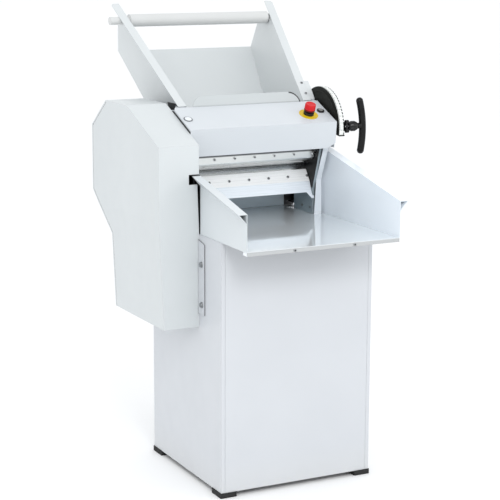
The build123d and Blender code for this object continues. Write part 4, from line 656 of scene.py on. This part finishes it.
# Below the fold the colour turns darker and bluish: painted shade on the lower facet.
chute_lower_shade = before(chute_tree, along(chute_tree, chute_place, "Z"), chute_fold, 0.001)
chute_colour = mixed(chute_tree, chute_lower_shade, chute_colour, (0.74, 0.79, 0.84))
chute_tree.links.new(chute_colour, chute_shader.inputs["Base Color"])
chute_grain = noise(chute_tree, chute_place, 1.0, 3.0, (5.0, 700.0, 700.0))
chute_rough = spread(chute_tree, chute_grain, 0.3, 0.7, 0.24, 0.36)
chute_tree.links.new(chute_rough, chute_shader.inputs["Roughness"])
bumped(chute_tree, chute_shader, chute_grain, 0.06, 0.0002, 0.0008)
finish(chute_lit_sheet, "chute")

into_chute = (0.0, 0.80777, -0.58952)
chute_face_y, chute_face_z = 0.073022, 0.828732
chute_places = [((x, chute_face_y, chute_face_z), into_chute) for x in screw_row]
chute_screws = set_out(model_screw(0.0078), chute_places)
settle(chute_screws, "chute_screw_row", "frame", "screw_steel")

frame_inside = 0.196
cover_places = [
    ((side * frame_inside, y, z), (side, 0.0, 0.0))
    for side in (1.0, -1.0)
    for y, z in ((0.0594, 0.737), (0.1077, 0.736), (0.325, 0.994))
]
cover_screws = set_out(model_screw(0.0235), cover_places)
settle(cover_screws, "side_cover_screws", "frame", "screw_steel")

# ---------------------------------------------------------------- tray
# A floor of polished stainless sheet with a front lip, between two coated
# walls whose tops are folded outward; two rails and two lip screws hold it.

tray_lip_face = -0.3748
tray_polish, tray_tree, tray_shader, tray_place = new_material(
    "tray_polish", (0.80, 0.83, 0.85), 0.10, 0.45
)
tray_cloud = noise(tray_tree, tray_place, 9.0, 4.0)
tray_top = mixed(tray_tree, tray_cloud, (0.85, 0.885, 0.91), (0.80, 0.84, 0.87))
# The underside is painted near black as shade, which deepens the shadow on the cabinet below.
tray_underside_shade = before(tray_tree, facing(tray_tree, "Z"), -0.6, 0.2)
tray_colour = mixed(tray_tree, tray_underside_shade, tray_top, (0.03, 0.03, 0.03))
tray_ahead = along(tray_tree, tray_place, "Y")
# The lip's front face is painted darker as shade.
tray_lip_shade = before(tray_tree, tray_ahead, tray_lip_face - 0.0004, 0.0004)
tray_colour = mixed(tray_tree, tray_lip_shade, tray_colour, (0.47, 0.485, 0.49))
tray_tree.links.new(tray_colour, tray_shader.inputs["Base Color"])
tray_grain = noise(tray_tree, tray_place, 1.0, 3.0, (40.0, 900.0, 40.0))
tray_wipes = noise(tray_tree, tray_place, 13.0, 5.0)
tray_wipes = spread(tray_tree, tray_wipes, 0.35, 0.75, 0.05, 0.12)
tray_tree.links.new(tray_wipes, tray_shader.inputs["Roughness"])
bumped(tray_tree, tray_shader, tray_grain, 0.02, 0.0001, 0.0008)
finish(tray_polish, "tray_floor")


def hidden_end_of_wall(tree, place):
    """The outer face of the left wall where it runs on inside the drive casing: painted shade."""
    wall_face, casing_front = -0.2324, -0.0940
    return where_all(
        tree,
        before(tree, along(tree, place, "X"), wall_face, 0.0002),
        past(tree, along(tree, place, "Y"), casing_front, 0.0005),
    )


wall_white = (0.625, 0.660, 0.680)
wall_shade = (0.607, 0.642, 0.662)
# The wall's outer face inside the casing is painted near black as shade.
left_wall_coat = powder_coat("left_wall_coat", wall_white, wall_shade, hidden_end_of_wall)
finish(left_wall_coat, "tray_wall_left")


def outer_side(tree, place):
    """The side of the right wall that looks away from the tray."""
    return past(tree, facing(tree, "X"), 0.4, 0.1)


# The right wall's inside is a lighter, bluish copy of the wall coat: painted light. Its outside
# keeps the plain coat.
right_wall_lit_copy = ((0.79, 0.845, 0.90), (0.765, 0.82, 0.875))
finish(powder_coat("right_wall_coat", *right_wall_lit_copy, outer_side, wall_white), "tray_wall_right")
finish(cabinet_coat, "tray_rails")

lip_face, lip_middle = -0.376, 0.713
lip_places = [((x, lip_face, lip_middle), rearward) for x in (-0.091, 0.091)]
settle(set_out(model_screw(0.004), lip_places), "tray_lip_screws", "frame", "screw_steel")

# ---------------------------------------------------------------- hood
# One folded sheet over the rollers, coated white, with a throat cut out of its
# back where a guard with a rounded lip stands behind it.

hood_bend = Vector((0.0, -0.034, 0.998))
hood_angle = 0.39961
hood_uphill = Vector((0.0, cos(hood_angle), sin(hood_angle)))


def slit_by_casing(tree, place):
    """The lower part of the hood's left edge, where it runs down beside the casing: painted shade.
    """
    hood_left, slit_top = -0.2337, 0.9276
    rise = reckon(tree, "MULTIPLY", along(tree, place, "Z"), 0.9212)
    run = reckon(tree, "MULTIPLY", along(tree, place, "Y"), 0.3891)
    height = reckon(tree, "SUBTRACT", rise, run)
    left = before(tree, along(tree, place, "X"), hood_left, 0.0002)
    return where_all(tree, left, before(tree, height, slit_top, 0.001))


hood_white = (0.572, 0.602, 0.630)
hood_shade = (0.554, 0.584, 0.612)
# The hood's lower left edge by the casing is painted near black as shade.
finish(powder_coat("hood_white_coat", hood_white, hood_shade, slit_by_casing), "hood")


def gap_at_guard(tree, place):
    """The rim of the guard's right corner, beside the hopper's foot: painted shade of the gap."""
    guard_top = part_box("throat_guard")[1][2]
    corner_x, corner_z, squeeze, corner_radius_squared = 0.137, guard_top - 0.033, 1.09, 0.00098
    across = reckon(tree, "SUBTRACT", along(tree, place, "X"), corner_x)
    rise = reckon(tree, "SUBTRACT", along(tree, place, "Z"), corner_z)
    rise = reckon(tree, "MULTIPLY", rise, squeeze)
    across_squared = reckon(tree, "POWER", across, 2.0)
    distance_squared = reckon(tree, "ADD", across_squared, reckon(tree, "POWER", rise, 2.0))
    return where_all(
        tree,
        past(tree, distance_squared, corner_radius_squared, 0.00006),
        past(tree, across, 0.0, 0.004),
        past(tree, rise, -0.012, 0.016),
    )


# A near black line round the guard's right corner is painted shade of the gap beside the hopper.
guard_coat = powder_coat("guard_coat", (0.49, 0.52, 0.527), (0.475, 0.505, 0.512), gap_at_guard)
finish(guard_coat, "throat_guard")


def on_hood(x, uphill):
    """Matrix that lays a piece modelled in millimetres round Z on the hood's sloping top."""
    place = Vector((x, 0.0, 0.0)) + hood_bend + uphill * hood_uphill
    turn = Matrix.Rotation(hood_angle, 4, "X")
    return Matrix.Translation(place) @ turn @ Matrix.Scale(0.001, 4)


def lathe(profile, steps):
    """A closed piece raised round Z from its (radius, height) outline in millimetres."""
    bpy.ops.object.select_all(action="DESELECT")
    bpy.ops.mesh.primitive_circle_add(vertices=steps, radius=profile[0][0], fill_type="NGON")
    piece = bpy.context.object
    bpy.ops.object.mode_set(mode="EDIT")
    bpy.ops.mesh.select_all(action="SELECT")
    bpy.ops.transform.translate(value=(0.0, 0.0, profile[0][1]))
    for (radius, height), (next_radius, next_height) in zip(profile, profile[1:]):
        extrude(next_height - height)
        size = next_radius / radius
        bpy.ops.transform.resize(value=(size, size, 1.0), center_override=(0.0, 0.0, next_height))
    bpy.ops.mesh.select_all(action="SELECT")
    bpy.ops.mesh.normals_make_consistent(inside=False)
    bpy.ops.object.mode_set(mode="OBJECT")
    bpy.ops.object.shade_smooth_by_angle(angle=radians(32))
    return piece


def painted(piece, materials, choose):
    """Give a piece its materials; choose gives each face's number from its place."""
    for material in materials:
        piece.data.materials.append(material)
    for face in piece.data.polygons:
        face.material_index = choose(face.center)


plug_shell = powder_coat("plug_white_shell", (0.72, 0.75, 0.78), (0.69, 0.72, 0.75))
plug_rim = moulded("plug_grey_rim", (0.17, 0.18, 0.19), 0.45)
plug_lens_radius = 10.0
plug = lathe(
    [(12.4, 0.05), (13.0, 0.6), (13.0, 1.3), (12.2, 2.0), (10.9, 2.0), (10.5, 1.2), (9.9, 1.2)]
    + [(9.8, 2.2), (8.9, 2.9), (6.6, 3.3), (3.0, 3.5), (0.4, 3.52)],
    steps=48,
)
painted(plug, (plug_shell, plug_rim), lambda at: 1 if at.xy.length > plug_lens_radius else 0)
plug.data.transform(on_hood(x=-0.216, uphill=0.060))
settle(plug, "hood_plug_cap", "frame", "white_plastic", "hood_plug")

# ---------------------------------------------------------------- emergency stop
# A red mushroom head on a black collar, over a round yellow plate. The head
# is pushed 4 mm; its top is dished inside a raised rim.

stop_yellow = moulded("stop_yellow", (0.62, 0.42, 0.008), 0.42)
finish(stop_yellow, "stop_ring")
stop_black = moulded("stop_black", (0.012, 0.012, 0.012), 0.42)
finish(stop_black, "stop_body")
stop_red = moulded("stop_red", (0.52, 0.006, 0.010), 0.32, gloss=0.25)
stop_dark_red = moulded("stop_dark_red", (0.14, 0.004, 0.005), 0.40, gloss=0.15)
stop_collar_top = 13.8
stop_skirt_top = 18.4
stop_head = lathe(
    [(5.0, 6.0), (5.0, 13.7), (14.4, 13.7), (15.6, 14.2), (16.0, 15.2), (16.0, 17.4)]
    + [(15.5, 17.9), (15.5, 18.7), (16.0, 19.2), (15.7, 31.6), (15.0, 33.6), (13.9, 34.7)]
    + [(12.6, 35.0), (11.6, 34.7), (10.8, 33.9), (6.0, 33.5), (0.5, 33.4)],
    steps=64,
)
painted(
    stop_head,
    (stop_red, stop_dark_red, stop_black),
    lambda at: 2 if at.z < stop_collar_top else 1 if at.z < stop_skirt_top else 0,
)
stop_head.data.transform(on_hood(x=0.160, uphill=0.050))
settle(stop_head, "stop_mushroom_head", "stop_button", "red_plastic", "stop_head")

# ---------------------------------------------------------------- start button
# A flush grey push button in a black threaded ring, open in its middle; the
# button sinks 2.5 mm.

start_place = on_hood(x=0.207, uphill=0.065)
start_ring = lathe(
    [(7.6, 0.05), (10.6, 0.05), (11.0, 0.5), (11.0, 1.6), (10.4, 2.6), (9.6, 3.0)]
    + [(8.6, 3.0), (7.7, 2.2), (7.6, 0.05)],
    steps=48,
)
four_corners = 4
select_faces(start_ring, lambda face: len(face.vertices) > four_corners)
bpy.ops.mesh.delete(type="FACE")
bpy.ops.mesh.select_all(action="SELECT")
bpy.ops.mesh.remove_doubles(threshold=0.01)
bpy.ops.mesh.normals_make_consistent(inside=False)
bpy.ops.object.mode_set(mode="OBJECT")
start_ring.data.transform(start_place)
start_ring.data.materials.append(stop_black)
settle(start_ring, "start_ring_nut", "frame", "black_plastic")
finish(stop_black, "start_bezel")

start_grey = moulded("start_grey", (0.22, 0.22, 0.21), 0.3, gloss=0.5)
start_side_top = 4.0
start_cap = lathe(
    [(7.0, 0.6), (7.0, 4.7), (6.7, 5.2), (6.1, 5.5), (5.0, 5.4), (2.5, 5.1), (0.3, 5.0)],
    steps=40,
)
painted(start_cap, (start_grey, stop_black), lambda at: 1 if at.z < start_side_top else 0)
start_cap.data.transform(start_place)
settle(start_cap, "start_button_cap", "start_button", "white_plastic", "start_button")

# ---------------------------------------------------------------- hopper
# Two folded side panels with a feed plate between them, coated white and
# standing on the hood on two corner brackets.


def opening_at_foot(tree, place):
    """The outside of the left panel's foot, painted near black as the shade of the open corner
    below it.
    """
    opening_top, opening_rear = 1.0495, 0.211
    return where_all(
        tree,
        before(tree, along(tree, place, "Z"), opening_top, 0.001),
        before(tree, along(tree, place, "Y"), opening_rear, 0.002),
        before(tree, facing(tree, "X"), -0.6, 0.1),
    )


hopper_white = (0.600, 0.628, 0.636)
hopper_shade = (0.580, 0.608, 0.616)
hopper_coat = powder_coat("hopper_white_coat", hopper_white, hopper_shade)
finish(hopper_coat, "hopper_side_right", "feed_plate", "hopper_brackets")
# The left panel's foot is painted near black as shade.
left_coat = powder_coat("hopper_left_coat", hopper_white, hopper_shade, opening_at_foot)
finish(left_coat, "hopper_side_left")

into_bracket = (0.0, 0.6028, -0.7979)
bracket_places = [
    ((0.213, 0.152, 1.0932), into_bracket),
    ((0.208, 0.116, 1.0660), into_bracket),
]
bracket_screws = set_out(model_screw(0.0035), bracket_places)
settle(bracket_screws, "bracket_screw_pair", "frame", "screw_steel")

# ---------------------------------------------------------------- guide roller
# A white plastic-coated tube; its stubs turn in the seats at the tops of the
# hopper's sides. A near black band at its right end, by its seat, is painted shade.


def end_ring(tree, place):
    """A narrow band at the right end of the tube, and its end face: painted shade."""
    stub_length, ring_width = 0.014, 0.0046
    tube_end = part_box("guide_roller")[1][0] - stub_length
    return where_all(
        tree,
        past(tree, along(tree, place, "X"), tube_end - ring_width, 0.0004),
        before(tree, along(tree, place, "X"), tube_end + 0.0002, 0.0002),
    )


guide_white = powder_coat("guide_white", (0.590, 0.600, 0.596), (0.57, 0.58, 0.576), end_ring)
finish(guide_white, "guide_roller")

# ---------------------------------------------------------------- quadrant
# A black enamelled drum round the setting axis, notched along its outer edge,
# with a white scale band wrapped on its rim and graduated for the roller gap.

quadrant_enamel = moulded("quadrant_enamel", (0.011, 0.012, 0.010), 0.5, 700.0, 0.12)
finish(quadrant_enamel, "dial_drum")
scale_ground = moulded("scale_ground", (0.70, 0.72, 0.70), 0.42, gloss=0.25)
finish(scale_ground, "dial_scale")
scale_ink = moulded("scale_ink", (0.02, 0.02, 0.022), 0.5)

dial_axis_y = 0.082
dial_axis_z = 0.973
scale_radius = 0.1158


def on_scale(x, angle):
    """Matrix for a mark on the rim: X along the axis, Y along the rim, Z outward."""
    turn = radians(angle)
    outward = Vector((0.0, -cos(turn), sin(turn)))
    rim = Vector((0.0, sin(turn), cos(turn)))
    place = Vector((x, dial_axis_y, dial_axis_z)) + scale_radius * outward
    axes = Matrix((Vector((1.0, 0.0, 0.0)), rim, outward)).transposed().to_4x4()
    return Matrix.Translation(place) @ axes


def model_mark(length, width):
    """A printed line, slightly proud, with its long way along X and softened ends."""
    ink_height = 0.00012
    bpy.ops.object.select_all(action="DESELECT")
    bpy.ops.mesh.primitive_cube_add(size=1.0)
    mark = bpy.context.object
    mark.scale = (length, width, ink_height)
    bpy.ops.object.transform_apply(scale=True)
    select_faces(mark, lambda face: face.normal.z > 0.9)
    bpy.ops.mesh.inset(thickness=width * 0.2)
    bpy.ops.object.mode_set(mode="OBJECT")
    mesh = mark.data.copy()
    bpy.data.objects.remove(mark)
    return mesh


scale_outer_edge = 0.2502
scale_inner_edge = 0.2378
scale_sweep = 145
long_mark = 0.0042
short_mark = 0.0026
inner_share = 0.7
mark_width = 0.0006
scale_marks = []
for angle in range(0, scale_sweep + 1, 5):
    length = long_mark if angle % 10 == 0 else short_mark
    for start, inward, share in ((scale_outer_edge, -1, 1.0), (scale_inner_edge, 1, inner_share)):
        line = model_mark(length * share, mark_width)
        line.transform(on_scale(start + inward * length * share / 2, angle))
        scale_marks.append(line)

edge_line_x = scale_inner_edge + 0.0008
edge_line_width = 0.0005
edge_piece_length = 0.0041
for step in range(72):
    line = model_mark(edge_line_width, edge_piece_length)
    line.transform(on_scale(edge_line_x, 2.0 * step + 1.0))
    scale_marks.append(line)

figure_x = 0.2436
figure_height = 0.0052
figure_ink = 0.00005
for number in range(15):
    bpy.ops.object.select_all(action="DESELECT")
    bpy.ops.object.text_add()
    figure = bpy.context.object
    figure.data.body = str(number)
    figure.data.size = figure_height
    figure.data.align_x = "CENTER"
    figure.data.align_y = "CENTER"
    figure.data.extrude = figure_ink
    bpy.ops.object.convert(target="MESH")
    figure.data.transform(on_scale(figure_x, 10.0 * number))
    scale_marks.append(figure.data.copy())
    bpy.data.objects.remove(figure)

printing = []
for mesh in scale_marks:
    one = bpy.data.objects.new("mark", mesh)
    bpy.context.scene.collection.objects.link(one)
    mesh.materials.clear()
    mesh.materials.append(scale_ink)
    printing.append(one)
settle(joined(printing), "scale_printing", "frame", "black_enamel")

# ---------------------------------------------------------------- setting lever
# A flat steel arm on the eccentric shaft, enamelled black, with a spring
# plunger that drops into the notches and a bowed handle pulled outward.

lever_enamel = moulded("lever_enamel", (0.005, 0.005, 0.005), 0.22, 600.0, 0.30)
finish(lever_enamel, "lever_arm", "plunger_barrel")
handle_black = moulded("handle_black", (0.004, 0.004, 0.004), 0.16, 800.0, 0.22)
finish(handle_black, "t_handle")
pin_steel = plain_metal("pin_steel", (0.55, 0.56, 0.57), 0.2, (400.0, 400.0, 30.0))
finish(pin_steel, "plunger_pin")

# ---------------------------------------------------------------- drive plate
# A white plate between the casing and the cabinet; its front tab takes two
# hexagon bolts with plain washers. Behind the casing it is painted near black
# as shade, and its cut edges are painted darker as shade.


def behind_casing(tree, place):
    """The plate's side to the casing, from the casing's front wall rearward, and its cut edges:
    painted shade.
    """
    casing_front, edge_shade_share = -0.0885, 0.7
    casing_side = where_all(
        tree,
        past(tree, along(tree, place, "Y"), casing_front, 0.0005),
        before(tree, facing(tree, "X"), -0.5, 0.1),
    )
    flat = reckon(tree, "ABSOLUTE", facing(tree, "X"), 0.0)
    return reckon(tree, "MAXIMUM", casing_side, spread(tree, flat, 0.4, 0.6, edge_shade_share, 0.0))


finish(powder_coat("plate_coat", coat_white, coat_shade, behind_casing), "drive_plate")

bolt_radius = 0.0070
bolt_height = 0.0055
bolt_chamfer = 0.0007
bolt_rim = 0.0012
bolt_dish = 0.0003
bpy.ops.object.select_all(action="DESELECT")
bpy.ops.mesh.primitive_cylinder_add(
    vertices=6, radius=bolt_radius, depth=bolt_height, location=(0.0, 0.0, -bolt_height / 2)
)
plate_bolt = bpy.context.object
bpy.ops.object.transform_apply(location=True)
plate_bolt.data.materials.append(screw_steel)
select_faces(plate_bolt, lambda face: face.normal.z < -0.9)
bpy.ops.mesh.inset(thickness=bolt_chamfer)
bpy.ops.transform.translate(value=(0.0, 0.0, -bolt_dish))
bpy.ops.mesh.inset(thickness=bolt_rim)
bpy.ops.transform.translate(value=(0.0, 0.0, bolt_dish))
bpy.ops.object.mode_set(mode="OBJECT")
washer = lathe([(8.5, -0.05), (8.5, -1.2), (8.2, -1.5), (3.5, -1.5)], steps=36)
washer.data.transform(Matrix.Scale(0.001, 4))
washer.data.materials.append(screw_steel)
into_tab = (1.0, 0.0, 0.0)
bolt_places = [((-0.238, -0.111, 0.637), into_tab), ((-0.238, -0.113, 0.524), into_tab)]
plate_bolts = set_out(joined([plate_bolt, washer]), bolt_places)
settle(plate_bolts, "plate_bolt_pair", "frame", "screw_steel", "fixings")

# ---------------------------------------------------------------- drive casing
# Two folded white shells over the belt and gears, coated white outside; their
# insides are painted near black as shade, so the gap at the roller side and the
# slots look into the dark.


def inside_of_casing(tree, place):
    """Faces of the shells that look towards the middle of the casing: painted shade."""
    casing_middle = (-0.290, 0.10, 0.77)
    return looks_inward(tree, place, casing_middle)


casing_white = (0.580, 0.610, 0.620)
casing_shade = (0.562, 0.592, 0.602)
casing_coat = powder_coat("casing_white_coat", casing_white, casing_shade, inside_of_casing)
finish(casing_coat, "casing_cover", "casing_rear")

# ---------------------------------------------------------------- drive train
# Cut steel gears and turned shafts, cast-iron pulleys, a ribbed rubber belt
# and a totally enclosed motor bolted to its plate inside the cabinet.

gear_steel = plain_metal("gear_steel", (0.34, 0.345, 0.35), 0.36, (150.0, 150.0, 150.0), 0.3)
finish(gear_steel, "sync_gear_lower", "sync_gear_upper", "drive_gear", "pinion_shaft")
pulley_iron = plain_metal("pulley_iron", (0.22, 0.225, 0.23), 0.45, (220.0, 220.0, 220.0), 0.4)
finish(pulley_iron, "driven_pulley", "motor_pulley", "motor_plate")
belt_rubber = moulded("belt_rubber", (0.020, 0.020, 0.021), 0.75, 450.0)
finish(belt_rubber, "drive_belt")
motor_enamel = moulded("motor_enamel", (0.10, 0.13, 0.16), 0.45, 300.0)
finish(motor_enamel, "motor")
